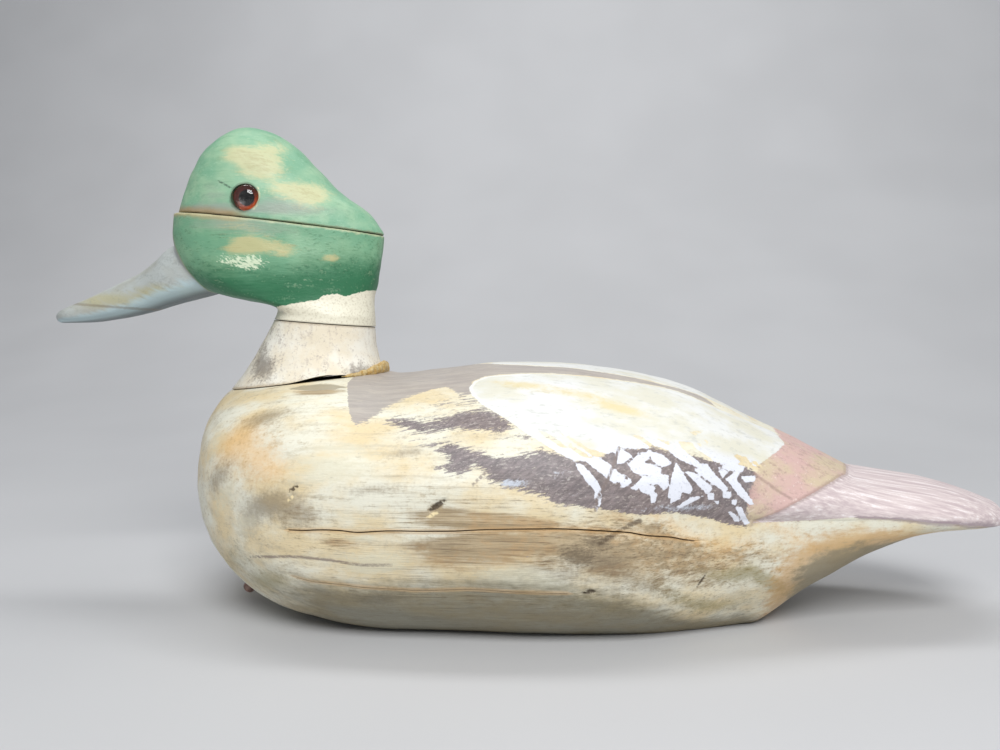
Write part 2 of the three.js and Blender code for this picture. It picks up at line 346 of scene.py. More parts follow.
# Body: where it is split, chipped and gouged, as (x, girth from the crest)
NEAR_CHECKS = [
    dict(path=[(-87, 105), (-72, 107), (-48, 107), (-13, 109), (9, 108), (31, 105), (55, 100), (82, 89)],
         start=-88, end=84, depth=1.5),
    dict(path=[(-88, 123), (-71, 129), (-57, 130), (-46, 131), (-29, 133), (9, 134), (34, 131)],
         start=-86, end=35, depth=1.3),
]
FAR_CHECKS = [
    dict(path=[(-80, 110), (-40, 111), (0, 111), (60, 100)], start=-64, end=58, depth=1.2),
    dict(path=[(-90, 128), (-40, 131), (20, 133)], start=-92, end=-18, depth=1.0),
]
HALF_COLUMNS = 140
CHECK_COLUMNS = 16
GOUGE = [(54, 95), (46, 102), (38, 109), (31, 115), (24, 121)]


def body_rings():
    """Stations along the body, closer together at both ends and across the feathers."""
    nose = BREAST_X + 70 * (1 - np.cos(math.pi / 2 * np.arange(1, 66) / 65))
    tail = TAIL_X - 26 * (1 - np.cos(math.pi / 2 * np.arange(1, 25) / 24))
    return np.concatenate([
        nose, np.arange(-70.7, 35, 1.35), np.arange(35, 127, 0.85), np.arange(127, 189.5, 1.5), tail[::-1],
    ])


def column_shares():
    """Shares of the half girth, closer together across the feathers."""
    share = np.linspace(0, 1, 400)
    weight = np.cumsum(np.where((share > 0.3) & (share < 0.62), 1.5, 1.0))
    return np.interp(np.linspace(0, 1, HALF_COLUMNS + 1), (weight - weight[0]) / (weight[-1] - weight[0]), share)


def half_body(checks, seed):
    """One half's points from crest to keel, its girth and how deep its checks are at each point."""
    stations = body_rings()
    shares = column_shares()
    angle = np.linspace(math.pi / 2, math.pi * 1.5, 721)
    sections = [body_section(x, angle) for x in stations]
    lengths = [np.concatenate([[0], np.cumsum(np.linalg.norm(np.diff(s, axis=0), axis=1))]) for s in sections]
    half_girth = np.array([length[-1] for length in lengths])
    side_x = np.array([x - rump_sweep(x) for x in stations])
    share = np.tile(shares, (len(stations), 1))
    column = np.arange(HALF_COLUMNS + 1)
    depth = np.zeros_like(share)
    gap = np.full_like(share, 9.0)
    chance = np.random.default_rng(seed)
    for check in checks:
        along = (side_x > check["start"] - 14) & (side_x < check["end"] + 14)
        path = profile(check["path"])(side_x) + np.interp(side_x, np.arange(-150, 220, 9), chance.normal(0, 0.12, 42))
        wanted = path / half_girth
        centre = int(np.argmin(np.abs(shares - wanted[along].mean())))
        fade = np.clip(np.minimum(side_x - check["start"] + 14, check["end"] + 14 - side_x) / 12, 0, 1)
        offset = np.abs(column - centre)
        reach = np.cos(np.clip(offset / CHECK_COLUMNS, 0, 1) * math.pi / 2) ** 2
        share += (fade * (wanted - shares[centre]))[:, None] * reach
        spacing = (shares[centre + 1] - shares[centre]) * half_girth
        pinch = np.where(offset > 0, np.exp(-(offset - 1) / 2.5), 0)
        pull = (fade * np.maximum(spacing - 0.42, 0) / half_girth)[:, None] * pinch
        share -= np.sign(column - centre) * pull
        open_ = np.clip(np.minimum(side_x - check["start"], check["end"] - side_x) / 16, 0, 1)
        open_ *= 0.65 + 0.35 * np.interp(side_x, np.arange(-150, 220, 13), chance.uniform(-1, 1, 29))
        depth[:, centre] = np.maximum(depth[:, centre], open_ * check["depth"])
        distance = np.abs(share - share[:, centre:centre + 1]) * half_girth[:, None]
        gap = np.minimum(gap, distance + 3 * (1 - np.clip(open_ * 4, 0, 1))[:, None])
    girth = share * half_girth[:, None]
    points = np.stack([
        np.stack([np.interp(g, length, section[:, k]) for k in range(3)], -1)
        for g, length, section in zip(girth, lengths, sections)
    ])
    return points, girth, depth, gap


def surface_normals(points):
    """Outward normals of rings of points laid out [ring, column]."""
    across = np.roll(points, -1, 1) - np.roll(points, 1, 1)
    along = np.gradient(points, axis=0)
    normal = np.cross(along, across)
    outward = points - points.mean(1, keepdims=True)
    normal *= np.sign((normal * outward).sum(-1).mean())
    return normal / np.maximum(np.linalg.norm(normal, axis=-1, keepdims=True), 1e-9)


# Paint on the body: outlines as (x, girth) from the crest, and as (x, height) where they say side view
MANTLE = [
    (-68, 20), (-68, 32), (-65, 43), (-62, 54), (-58, 63), (-53, 60), (-46, 51), (-38, 44), (-30, 39),
    (-24, 38), (-18, 46), (-12, 47), (-14, 36), (-9, 31), (9, 28), (38, 25), (66, 21), (82, 22), (90, 20),
    (84, 15), (66, 17), (38, 16), (10, 16), (-6, 13), (-13, 8), (-20, -2), (-20, -40), (-75, -40), (-75, 20),
]
WHITE_PATCH = [
    (-12.5, 48), (-14.5, 42), (-13, 36), (-8, 31.5), (9, 29), (24, 28), (38, 26), (54, 24), (66, 22), (78, 23),
    (91, 22), (104, 17), (115, 14), (117, 24), (112, 34), (106, 43), (101, 50), (92, 54), (84, 62), (70, 74),
    (52, 80), (34, 82), (20, 76), (11, 71), (0, 62), (-8, 55),
]
PATCH_FRONT = [(0, 62), (-8, 55), (-12.5, 48), (-14.5, 42), (-13, 36), (-8, 31.5), (9, 29)]
BACK_STRIPE = [(-8, 12), (10, 14.5), (38, 15), (66, 15), (82, 14), (94, 12), (106, 10), (106, -20), (-5, -20)]
RUMP = [
    (117, 12), (112, 30), (105, 42), (102, 50), (99, 58), (97, 66), (96, 74), (96, 84), (160, 84), (160, 0),
    (160, -40), (117, -40),
]
RUMP_EDGE = [(149, -30), (149, 0), (146, 12), (143, 22), (134, 36), (124, 50), (114, 63), (105, 75), (98, 84)]
TAIL_EDGE = [(98, 84), (116, 72), (127, 65), (140, 57), (156, 51), (172, 45), (189, 36), (205, 25), (240, 0)]
# Side view
STREAKS_UPPER = [
    (-45, 89), (-37, 90), (-29, 89), (-19, 91), (-9, 93.5), (-4, 93), (1, 91), (7, 88), (1, 85.5), (-12, 86.5),
    (-26, 86), (-32, 85), (-37, 87),
]
STREAKS_LOWER = [
    (-25, 81), (-20, 82.5), (-14, 81), (-2, 77.5), (6, 77), (12, 78.5), (17, 80), (26, 76), (26, 60.5), (15, 64.5),
    (6, 66), (-2, 68.5), (-4, 72), (-8, 74.5), (-14, 71), (-23, 73), (-18, 75), (-20, 78),
]
FEATHER_GROUND = [
    (20, 79), (29, 76), (36, 75.5), (42, 78), (47, 80), (52, 79.5), (59, 80), (65, 78), (71, 78), (80, 74.5),
    (89, 72), (98, 70.5), (103, 67), (100, 58), (96, 56), (98, 51), (96, 48), (87, 50), (80, 53), (65, 56),
    (54, 55.5), (45, 57.5), (37, 58.5), (29, 60), (20, 61.5),
]
FEATHERS = [
    [(31, 81.5), (42, 74.5), (48, 69.5), (44, 67.5), (40, 70.5), (34, 75)],
    [(29, 75), (32, 74.5), (35, 71.5), (38, 68), (39.3, 65), (39, 60.5), (37, 57), (36.8, 65), (34, 68.2), (31, 72)],
    [(42, 80), (48, 80), (51, 77), (48, 75), (45, 74), (45.5, 77)],
    [(44, 70.3), (48.5, 70.3), (47, 68), (43, 69)],
    [(45.5, 66.6), (49.6, 69.2), (50.7, 68), (47.5, 66)],
    [(49, 73.6), (53.5, 78), (59.5, 78.3), (57, 76), (54.7, 74.2), (51, 73)],
    [(56.5, 79.3), (63, 77), (66.2, 74), (62.5, 72.7), (59, 75)],
    [(50.2, 73), (57, 74.3), (62, 72.5), (61, 70), (54.4, 70.4), (51, 71.4)],
    [(50.2, 65.6), (54.6, 69.4), (60.3, 70.3), (64.7, 69.8), (64, 67.4), (59.5, 67), (55.4, 67), (52, 65)],
    [(53.6, 65.4), (56.4, 66.8), (59.7, 66), (59, 64.2), (56.5, 63.5), (54.3, 64.1)],
    [(60, 67.2), (64, 68.5), (65, 66.2), (62.6, 64.6)],
    [(67.8, 74.4), (70, 70.7), (74, 64.3), (73, 62.4), (69, 63.8), (66, 61.8), (64.2, 61.4), (65, 65.7), (66, 69.5)],
    [(64.6, 79.6), (72, 78.3), (79.3, 73.3), (77.6, 71.8), (73.8, 73.2), (68.3, 75.8)],
    [(71, 70.8), (74.6, 70.3), (81.8, 64.5), (80, 62), (76.4, 65.5)],
    [(74.8, 71), (80, 73), (83.4, 68.8), (88.2, 63.9), (87, 62.5), (82.2, 65.8), (78, 68.7)],
    [(75.6, 79.8), (84, 76.5), (92.4, 72), (96, 71), (94.4, 69.4), (87.8, 70.6), (83.3, 72.9)],
    [(84.7, 70.8), (89, 70), (86.2, 67.6)],
    [(87.3, 67.1), (91.9, 69.8), (94, 69.8), (92.3, 67.6), (91.5, 65.8), (89, 66)],
    [(88.4, 66.4), (92.3, 66.2), (97, 60.3), (99, 57), (97, 57.2), (92.2, 61.6)],
    [(93.4, 68), (100, 67.6), (99.6, 65.8), (95.8, 65.6)],
    [(80, 62), (82.5, 62.5), (82.4, 60.1), (80.3, 60)],
    [(86.3, 62.8), (89.7, 62.4), (89, 60), (86.2, 60.7)],
    [(89.8, 59.4), (91.8, 59.1), (91.5, 57.2), (89.9, 57.7)],
    [(82.7, 59.3), (84.9, 59.3), (84.2, 57.8)],
    [(88.1, 55.1), (91, 53.8), (93.6, 50.6), (91.4, 50.7)],
    [(91.1, 56.7), (93.7, 56.3), (94.6, 53.9), (97.3, 49.6), (95.6, 48.8), (93, 53.2)],
    [(65.4, 62.2), (69.7, 63.6), (69, 60.8), (65.4, 59.7)],
    [(67, 57.8), (73.5, 61.3), (78.5, 61.6), (73.5, 59.4), (69.4, 57.7)],
    [(57.3, 63.8), (60.2, 63.5), (59.4, 60.2), (58, 60)],
]
BARE_GAPS = [
    [(69.6, 81.7), (74.9, 81), (76.2, 78.8), (81, 75.6), (84.2, 73.4), (77.6, 73.4), (72.8, 77.3), (70.4, 79.3)],
    [(51, 84.6), (55.1, 84), (59.5, 80.7), (65.6, 78.7), (65, 77.7), (59.4, 79.4)],
    [(22, 86), (27.8, 83.8), (34.4, 79.9), (41.6, 77.9), (41.8, 76.5), (36, 77.3), (29, 82)],
    [(90.2, 76.4), (97, 74.3), (101.2, 69.1), (102.6, 67.3), (98, 69), (94.4, 72.5)],
    [(99, 73.3), (101.2, 72.5), (102.4, 71), (100.2, 71.3)],
    [(62.4, 78.3), (68.4, 75.9), (70.1, 74.1), (66.9, 74), (62.6, 77.3)],
    [(79.8, 74.4), (88.6, 72.2), (84, 71.9)],
    [(79.7, 82), (82.2, 80.5), (81.3, 79.4)],
    [(76.8, 80.6), (79, 80.3), (78.3, 78.9)],
    [(45.7, 80.1), (52.3, 78.8), (54.8, 77.4), (50.3, 77.7)],
    [(73.8, 84.4), (79.5, 84.8), (80.4, 84.2), (76.3, 83.2)],
    [(14, 86.5), (19, 85.3), (27, 80), (24, 80.5), (18, 84)],
    [(26, 82.4), (31, 79.4), (36, 76.4), (32, 77), (28, 79.8)],
    [(60, 83.5), (66, 81.5), (70, 80.5), (65, 80.7)],
]
THIN_SCORE = [(46, 80), (43.3, 73), (41, 68), (38, 63), (37, 58)]
SHORT_SCORE = [(-9, 67), (-6.6, 69.3), (-3.7, 72.3)]
WING_WEAR = [(6, 68, 6, 1.6, 1.0), (24, 71, 6, 3, 0.45), (60, 58, 16, 1.6, 0.4), (30, 64, 9, 1.2, 0.4), (76, 57, 12, 1.5, 0.5)]
# These as (x, girth) again
SURFACE_CHECK = [(-100, 113), (-88, 116), (-62, 119.5), (-40, 121)]
RUMP_MARK = [(100, 54), (106, 56), (114, 59)]
YELLOWED = [(8, 40, 9, 3, 0.8), (30, 44, 16, 3, 0.7), (48, 49, 10, 2.5, 0.9), (-2, 36, 6, 3, 0.4)]

# Stains and worn places on the near side, as (x, girth, reach, reach, strength)
OCHRE_SPOTS = [
    (-107, 62, 9, 8, 1), (-95, 74, 8, 6, 0.7), (-88, 82, 8, 4, 0.6), (77, 91, 28, 3, 0.5), (118, 79, 21, 4, 0.5),
]
GRIME_SPOTS = [
    (-97, 55, 9, 4, 0.9), (-116, 72, 6, 5, 0.8), (-85, 95, 9, 5, 0.8), (-76, 102, 8, 5, 0.6),
    (-100, 97, 5, 8, 0.5), (-92, 93, 5, 4, 0.5), (-47, 136, 12, 3, 0.8), (-35, 77, 7, 1.5, 0.8),
    (-47, 91, 12, 2, 0.5), (54, 121, 19, 5, 0.5), (38, 115, 11, 4, 0.6), (24, 124, 9, 4, 0.5), (-25, 113, 15, 3, 0.4),
]
BARE_SPOTS = [
    (3, 105, 20, 3, 0.7), (-22, 102, 11, 4, 0.6), (-59, 112, 7, 2, 0.6), (-10, 118, 20, 7, 0.8),
    (36, 111, 22, 5, 0.9), (2, 113, 26, 2, 0.7), (69, 103, 24, 6, 0.7), (46, 119, 23, 4, 0.5),
    (90, 94, 25, 4, 0.5), (57, 97, 15, 2, 0.5), (-7, 139, 23, 3, 0.4), (-76, 99, 10, 5, 0.4), (-78, 40, 9, 2.5, 1.2),
]
PALE_SPOTS = [
    (-46, 120, 14, 5, 1), (6, 127, 15, 4, 1), (-113, 83, 7, 6, 0.7), (-102, 99, 7, 6, 0.6), (-121, 53, 6, 12, 0.5),
    (-52, 102, 12, 3, 0.5), (104, 116, 18, 6, 0.4), (-64, 82, 18, 9, 0.8), (24, 131, 15, 3, 0.4), (-50, 109.5, 9, 0.9, 0.8),
]
OLIVE_SPOTS = [
    (-94, 128, 10, 6, 1), (96, 104, 15, 3, 1), (79, 120, 17, 4, 0.8), (-110, 112, 9, 8, 0.5),
    (113, 106, 10, 6, 0.5), (39, 136, 23, 5, 0.5), (158, 70, 16, 3, 0.5),
]


FAR_WEAR = [(4, 0.7, 11), (10, 0.7, 12), (12, 0.7, 13), (9, 0.8, 14), (6, 0.7, 15)]


def random_spots(count, strength, seed):
    """Plainer wear for the side that the photograph doesn't show."""
    chance = np.random.default_rng(seed)
    return [
        (chance.uniform(-115, 110), chance.uniform(85, 135), chance.uniform(8, 26), chance.uniform(2, 6),
         strength * chance.uniform(0.6, 1))
        for _ in range(count)
    ]


def body_paint(points, girth, near):
    """The marks that the body's paint reads, for one half."""
    x, z = points[..., 0], points[..., 2]
    g = girth
    if not near:
        x = x + 3.5 * np.sin(z / 17 + 1) + 2.5 * np.sin(g / 11)
        g = g + 2.5 * np.sin(x / 21 + 2)
        z = z + 1.5 * np.sin(x / 13)
    fray = np.clip((x + 62) / 20, 0, 1) * np.clip((g - 38) / 14, 0, 1)
    mantle = cover(inside(MANTLE, x, g), 1.2 + 9 * fray)
    ground = inside(FEATHER_GROUND, x, z)
    dark = cover(ground, 2.0)
    streaks = np.maximum(cover(inside(STREAKS_UPPER, x, z), 5), cover(inside(STREAKS_LOWER, x, z), 6))
    faint = spots([(-12, 97, 14, 2, 0.42), (-28, 94, 12, 1.6, 0.34), (-30, 82, 12, 2, 0.36), (10, 84, 14, 2, 0.4)], x, z)
    dark = np.maximum(dark, np.maximum(np.minimum(streaks, 0.95), faint))
    white = cover(inside(WHITE_PATCH, x, g), 1.4)
    white = np.maximum(white, cover(inside(BACK_STRIPE, x, g), 1.6))
    white = np.minimum(white, 1 - cover(ground, 1.6))
    for outline in FEATHERS:
        white = np.maximum(white, cover(inside(outline, x, z) + 0.1, 1.3))
    for outline in BARE_GAPS:
        white = np.minimum(white, 1 - cover(inside(outline, x, z), 1.2))
    white = np.minimum(white, 1 - cover(0.3 - stroke(THIN_SCORE, x, z), 0.8))
    rump = cover(inside(RUMP, x, g), 5)
    above = inside([(60, 84)] + TAIL_EDGE + [(240, -40), (60, -40)], x, g)
    behind = inside(RUMP_EDGE + [(240, 90), (240, -30)], x, g)
    tail = cover(np.minimum(behind, above), 1.2)
    rump = np.where(x > 90, np.minimum(rump, cover(above, 1.5)), rump)
    if near:
        lists = [OCHRE_SPOTS, GRIME_SPOTS, BARE_SPOTS, PALE_SPOTS, OLIVE_SPOTS]
    else:
        lists = [random_spots(*values) for values in FAR_WEAR]
    ochre, grime, bare, pale, olive = [spots(items, x, g) for items in lists]
    belly = np.clip((g - 84) / 14, 0, 1) * np.clip((x + 105) / 50, 0.15, 1)
    # low: painted shade, darker low on each flank towards the keel
    low = np.clip((g - 122) / 14, 0, 1) * np.clip((x + 110) / 40, 0.2, 1)
    # under: how far below the tail's edge; the paint there is an ochre stain, then painted shade further under the tail
    under = np.where(x > 90, np.clip(-above / 12, 0, 1.6), 0) * np.clip((x - 100) / 30, 0, 1)
    wear = spots(WING_WEAR, x, z)
    yellowed = spots(YELLOWED, x, g)
    lines = np.minimum(stroke(THIN_SCORE, x, z), stroke(SHORT_SCORE, x, z))
    lines = np.minimum(lines, stroke(SURFACE_CHECK, x, g))
    return dict(
        mantle=mantle, dark=dark, white=white, rump=rump, tail=tail, ochre=ochre, grime=grime, bare=bare,
        pale=pale, olive=olive, belly=belly, low=low, under=under, wear=wear, yellowed=yellowed,
        ground=cover(ground + 3, 4), rump_line=np.minimum(stroke(RUMP_EDGE, x, g), stroke(RUMP_MARK, x, g)),
        tail_rim=np.where(x > 140, stroke(TAIL_EDGE, x, g), 20), patch_rim=stroke(PATCH_FRONT, x, g),
        gouge=stroke(GOUGE[:3], x, g) if near else np.full_like(x, 20),
        scrape=spots([(38, 108, 6, 3, 1), (30, 116, 7, 4, 1), (44, 103, 5, 2, 0.6)], x, g) if near else np.zeros_like(x),
        score=lines if near else np.full_like(x, 20),
    )


def make_body():
    near, near_girth, near_depth, near_gap = half_body(NEAR_CHECKS, 1)
    far, far_girth, far_depth, far_gap = half_body(FAR_CHECKS, 2)
    far = far * (1, -1, 1)

    def join(a, b):
        return np.concatenate([a, b[:, -2:0:-1]], axis=1)

    points = join(near, far)
    depth = join(near_depth, far_depth)
    near_marks, far_marks = body_paint(near, near_girth, True), body_paint(far, far_girth, False)
    marks = {name: join(near_marks[name], far_marks[name]) for name in near_marks}
    marks["gap"] = join(near_gap, far_gap)
    girth = join(near_girth, far_girth)
    is_near = join(np.ones_like(near_girth), np.zeros_like(far_girth))

    x = points[..., 0]

    def near_only(values, other):
        return np.where(is_near, values, other)

    notch = near_only(tapered((-26, 101), (-18.5, 96.5), 1.2, x, girth), -9)
    dent = near_only(tapered((-82, 91.5), (-76, 89), 1.0, x, girth), -9)
    pit = near_only(tapered((32, 131.5), (38, 129), 1.0, x, girth), -9)
    chip = near_only(tapered((-94, 34.2), (-66, 34.6), 3.4, x, girth), -9)
    scratch = near_only(tapered((81, 103), (77, 112), 0.5, x, girth), -9)
    gouge_path = near_only(stroke(GOUGE, x, girth), 99)
    press = 0.5 * np.exp(-(gouge_path / 0.9) ** 2) * (0.6 + 0.4 * np.sin(x * 1.7))
    for mark_, depth_ in ((notch, 1.3), (dent, 0.8), (pit, 1.2), (chip, 0.6), (scratch, 0.3)):
        press += depth_ * np.clip(mark_ / 0.7 + 0.5, 0, 1)
    swell = 0.34 * ripple(points, 30, 8) + 0.13 * ripple(points, 9, 9)
    swell *= np.clip((TAIL_X - x) / 60, 0.25, 1)
    normal = surface_normals(points)
    points = points + normal * (swell - press - depth)[..., None]

    marks["notch"] = np.maximum(np.maximum(notch, dent), np.maximum(pit, scratch))
    lights = np.maximum(tapered((-27.5, 103.5), (-20, 100.5), 1.0, x, girth), tapered((-31, 107), (-29, 108), 0.9, x, girth))
    lights = np.maximum(lights, tapered((-82, 96), (-77, 92), 1.0, x, girth))
    marks["chip_light"] = near_only(lights, -9)
    marks["chip_bare"] = chip
    breast_pole = np.tile(np.array([BREAST_X, 0, BREAST_Z], float), (1, points.shape[1], 1))
    tail_pole = np.tile(np.array([TAIL_X, 0, 42], float), (1, points.shape[1], 1))
    surface = np.concatenate([breast_pole, points, tail_pole])
    padded = {}
    for name, values in marks.items():
        first = np.full((1, values.shape[1]), values[0].mean())
        last = np.full((1, values.shape[1]), values[-1].mean())
        padded[name] = np.concatenate([first, values, last])
    body = wrap_sphere("body_carved", surface, padded)
    saw(body, 0, 0, keep_above=True)
    saw(body, *SEAT)
    soften(body, 38)
    return body


# Head: rings of points for the two boards and the neck block

def ring_stack(heights, front_profile, columns, pole_heights):
    angle = np.linspace(0, math.tau, columns, endpoint=False)
    rings = [head_section(h, front_profile, angle) for h in heights]
    poles = []
    for h, ring in zip(pole_heights, (rings[0], rings[-1])):
        centre = ring.mean(0)
        centre[2] = h + CROWN_JOINT[1] * (centre[0] - HEAD_X)
        poles.append(np.tile(centre, (1, columns, 1)))
    return np.concatenate([poles[0], np.stack(rings), poles[1]])


def eased_rim(surface, ring, inwards=0.45):
    """Takes a ring that closes a flat end a little towards its middle, so that the edge isn't knife sharp."""
    centre = surface[ring].mean(0)
    spread = surface[ring] - centre
    surface[ring] = centre + spread * (1 - inwards / np.maximum(np.linalg.norm(spread, axis=1, keepdims=True), 1))


def carve_swell(surface, amount, seed):
    inner = surface[1:-1]
    inner += surface_normals(inner) * (amount * ripple(inner, 22, seed) + amount * 0.4 * ripple(inner, 8, seed + 1))[..., None]


def make_neck():
    surface = ring_stack(np.arange(90, 137, 0.9), cheek_front, 220, (89, 138))
    carve_swell(surface, 0.2, 21)
    neck = wrap_sphere("neck_block", surface)
    saw(neck, SEAT[0] + 2 * HALF_GAP, SEAT[1], keep_above=True)
    saw(neck, NECK_JOINT[0] - HALF_GAP, NECK_JOINT[1])
    select_only(neck)
    points = points_of(neck)
    lift = np.exp(-(((points[:, 0] + 80) / 10) ** 2)) * (points[:, 1] < 0)
    low = np.clip(1 - (points[:, 2] - SEAT[0] - SEAT[1] * (points[:, 0] - HEAD_X) - 0.4) / 3.5, 0, 1)
    outer = np.clip((np.abs(points[:, 1]) - 14) / 8, 0, 1)
    points[:, 2] += 1.9 * lift * low * outer
    move_points(neck, points)
    soften(neck)
    return neck


def make_cheek():
    top = CROWN_JOINT[0] - HALF_GAP
    heights = np.concatenate([np.arange(118, top - 0.6, 0.85), [top - 0.45, top]])
    surface = ring_stack(heights, cheek_front, 240, (117, top))
    eased_rim(surface, -2)
    carve_swell(surface, 0.22, 31)
    surface[-2:, :, 2] = np.minimum(surface[-2:, :, 2], top + CROWN_JOINT[1] * (surface[-2:, :, 0] - HEAD_X))
    cheek = wrap_sphere("head_cheek_board", surface)
    saw(cheek, NECK_JOINT[0] + HALF_GAP, NECK_JOINT[1], keep_above=True)

    angle = np.linspace(0, math.tau, 120, endpoint=False)
    tip = BILL_X + 10 * (1 - np.cos(math.pi / 2 * np.arange(1, 15) / 14))
    rings = [bill_section(x, angle) for x in np.concatenate([tip, np.arange(-205.2, -136, 0.8)])]
    first = np.tile(np.array([BILL_X, 0, 130.3]), (1, len(angle), 1))
    last = np.tile(rings[-1].mean(0), (1, len(angle), 1))
    bill_surface = np.concatenate([first, np.stack(rings), last])
    carve_swell(bill_surface, 0.12, 33)
    bill = wrap_sphere("bill_blank", bill_surface)
    combine(cheek, bill, "UNION")
    points = points_of(cheek)
    near_root = np.abs(points[:, 0] - bill_border(points[:, 2])) < 4.5
    near_root &= (points[:, 2] < 168) & (points[:, 2] > 138)
    smooth_at(cheek, near_root, 9)
    smooth_at(cheek, (points[:, 2] > 131) & (points[:, 2] < 142) & (points[:, 0] > -100), 30)
    soften(cheek, 60)
    return cheek


bill_border_points = [(140, -137), (142.6, -138.4), (146.5, -141.2), (152.2, -145.7), (159.5, -149.5), (163, -151.4), (168, -153)]
bill_border = profile(bill_border_points)


def make_crown():
    base = CROWN_JOINT[0] + HALF_GAP
    cap = HEAD_TOP - 20 * (1 - np.cos(math.pi / 2 * np.arange(1, 33) / 32))
    heights = np.concatenate([[base, base + 0.45], np.arange(base + 1.2, HEAD_TOP - 20.4, 0.85), cap[::-1]])
    surface = ring_stack(heights, crown_front, 240, (base, HEAD_TOP))
    eased_rim(surface, 1)
    carve_swell(surface, 0.22, 41)
    surface[:2, :, 2] = base + CROWN_JOINT[1] * (surface[:2, :, 0] - HEAD_X)
    surface[-1] = (CROWN_X, 0, 216.9)
    crown = wrap_sphere("head_crown_board", surface)
    for side in (-1, 1):
        depth = 12
        middle = (EYE[0], side * (EYE_FLOOR + depth / 2), EYE[2])
        bpy.ops.object.select_all(action="DESELECT")
        bpy.ops.mesh.primitive_cylinder_add(
            vertices=72, radius=(EYE_RADIUS + 0.3) * MM, depth=depth * MM,
            location=Vector(middle) * MM, rotation=(math.pi / 2, 0, 0),
        )
        combine(crown, bpy.context.active_object, "DIFFERENCE")
    soften(crown)
    return crown


def make_eye(side, name):
    """A glass dome, flat at the back, and the painted disc set in it."""
    front = EYE[1] + EYE_BULGE
    back = EYE_FLOOR + 0.1
    columns = 56
    angle = np.linspace(0, math.tau, columns, endpoint=False)

    def rings(stack):
        rows = []
        for radius, depth in stack:
            rows.append(np.stack([
                EYE[0] + radius * np.cos(angle), np.full(columns, side * depth), EYE[2] + radius * np.sin(angle),
            ], -1))
        return np.stack(rows)

    arc = np.linspace(0, math.pi / 2, 22)
    dome = [(EYE_RADIUS * math.sin(a), EYE[1] + EYE_BULGE * math.cos(a)) for a in arc]
    dome[0] = (0, front)
    glass = rings(dome + [(EYE_RADIUS, back + 0.15), (EYE_RADIUS - 0.15, back), (0, back)])
    rim = EYE[1] - 0.9
    iris = rings([(0, rim - 0.9), (2.4, rim - 0.8), (4.2, rim - 0.4), (5.3, rim), (5.45, rim - 0.15),
                  (5.45, back + 0.5), (5.3, back + 0.3), (0, back + 0.3)])
    pieces = []
    for part, surface in (("glass", glass), ("iris", iris)):
        piece = wrap_sphere(f"{name}_{part}", surface)
        soften(piece, 50)
        pieces.append(piece)
    return pieces


def make_filler():
    """A lumpy bead of yellow filler along the back of the joint between neck and body."""
    turn = np.radians(np.linspace(-58, 58, 110))
    x = np.full(len(turn), -60.0)
    for _ in range(8):
        height = SEAT[0] + (SEAT[1] - CROWN_JOINT[1]) * (x - HEAD_X) + 0.6
        path = np.array([head_section(h, cheek_front, np.array([t]))[0] for h, t in zip(height, turn)])
        x = path[:, 0]
    path[:, 2] = SEAT[0] + SEAT[1] * (path[:, 0] - HEAD_X) + 0.7 + 1.3 * np.cos(turn) ** 8
    columns = 20
    around = np.linspace(0, math.tau, columns, endpoint=False)
    forward = np.gradient(path, axis=0)
    forward /= np.linalg.norm(forward, axis=1, keepdims=True)
    up = np.array([0, 0, 1.0])
    out = np.cross(forward, up)
    out *= np.sign((out * (path - (-95, 0, 104))).sum(1))[:, None]
    ends = np.sqrt(np.clip(1 - np.abs(np.linspace(-1, 1, len(turn))) ** 2.5, 0.02, 1))
    chance = np.random.default_rng(7)
    lump = 1 + 0.22 * np.interp(np.arange(len(turn)), np.arange(0, 120, 4), chance.uniform(-1, 1, 30))
    radius = (0.5 + 0.75 * ends + 1.2 * np.cos(turn) ** 8) * lump * ends
    rings = []
    for p, o, r in zip(path, out, radius):
        rings.append(p + r * 0.85 * np.cos(around)[:, None] * o + r * 1.25 * np.sin(around)[:, None] * up)
    rings = np.stack(rings)
    rings += surface_normals(rings) * (0.22 * ripple(rings * (3, 1, 1), 3.2, 51))[..., None]
    poles = [np.tile(rings[i].mean(0), (1, columns, 1)) for i in (0, -1)]
    piece = wrap_sphere("neck_filler", np.concatenate([poles[0], rings, poles[1]]))
    soften(piece, 60)
    return piece


def make_peg():
    direction = np.array([-math.cos(PEG_DROOP), 0, -math.sin(PEG_DROOP)])
    side = np.array([0, 1.0, 0])
    up = np.cross(direction, side)
    columns = 32
    around = np.linspace(0, math.tau, columns, endpoint=False)
    stack = [(0, -9)] + [(r, -9 + 0.2) for r in (2.4, 2.75)] + [(PEG_RADIUS, d) for d in np.arange(-8, 7, 0.5)]
    stack += [(PEG_RADIUS - 0.15, 7.4), (PEG_RADIUS - 0.5, 8.0), (PEG_RADIUS - 1.1, 8.35), (0.9, 8.5), (0, 8.5)]
    rings = np.stack([
        np.array(PEG_START) + d * direction + r * (np.cos(around)[:, None] * side + np.sin(around)[:, None] * up)
        for r, d in stack
    ])
    rings[1:-1] += surface_normals(rings[1:-1]) * (0.08 * ripple(rings[1:-1], 3, 61))[..., None]
    piece = wrap_sphere("line_peg_turned", rings)
    soften(piece, 40)
    return piece


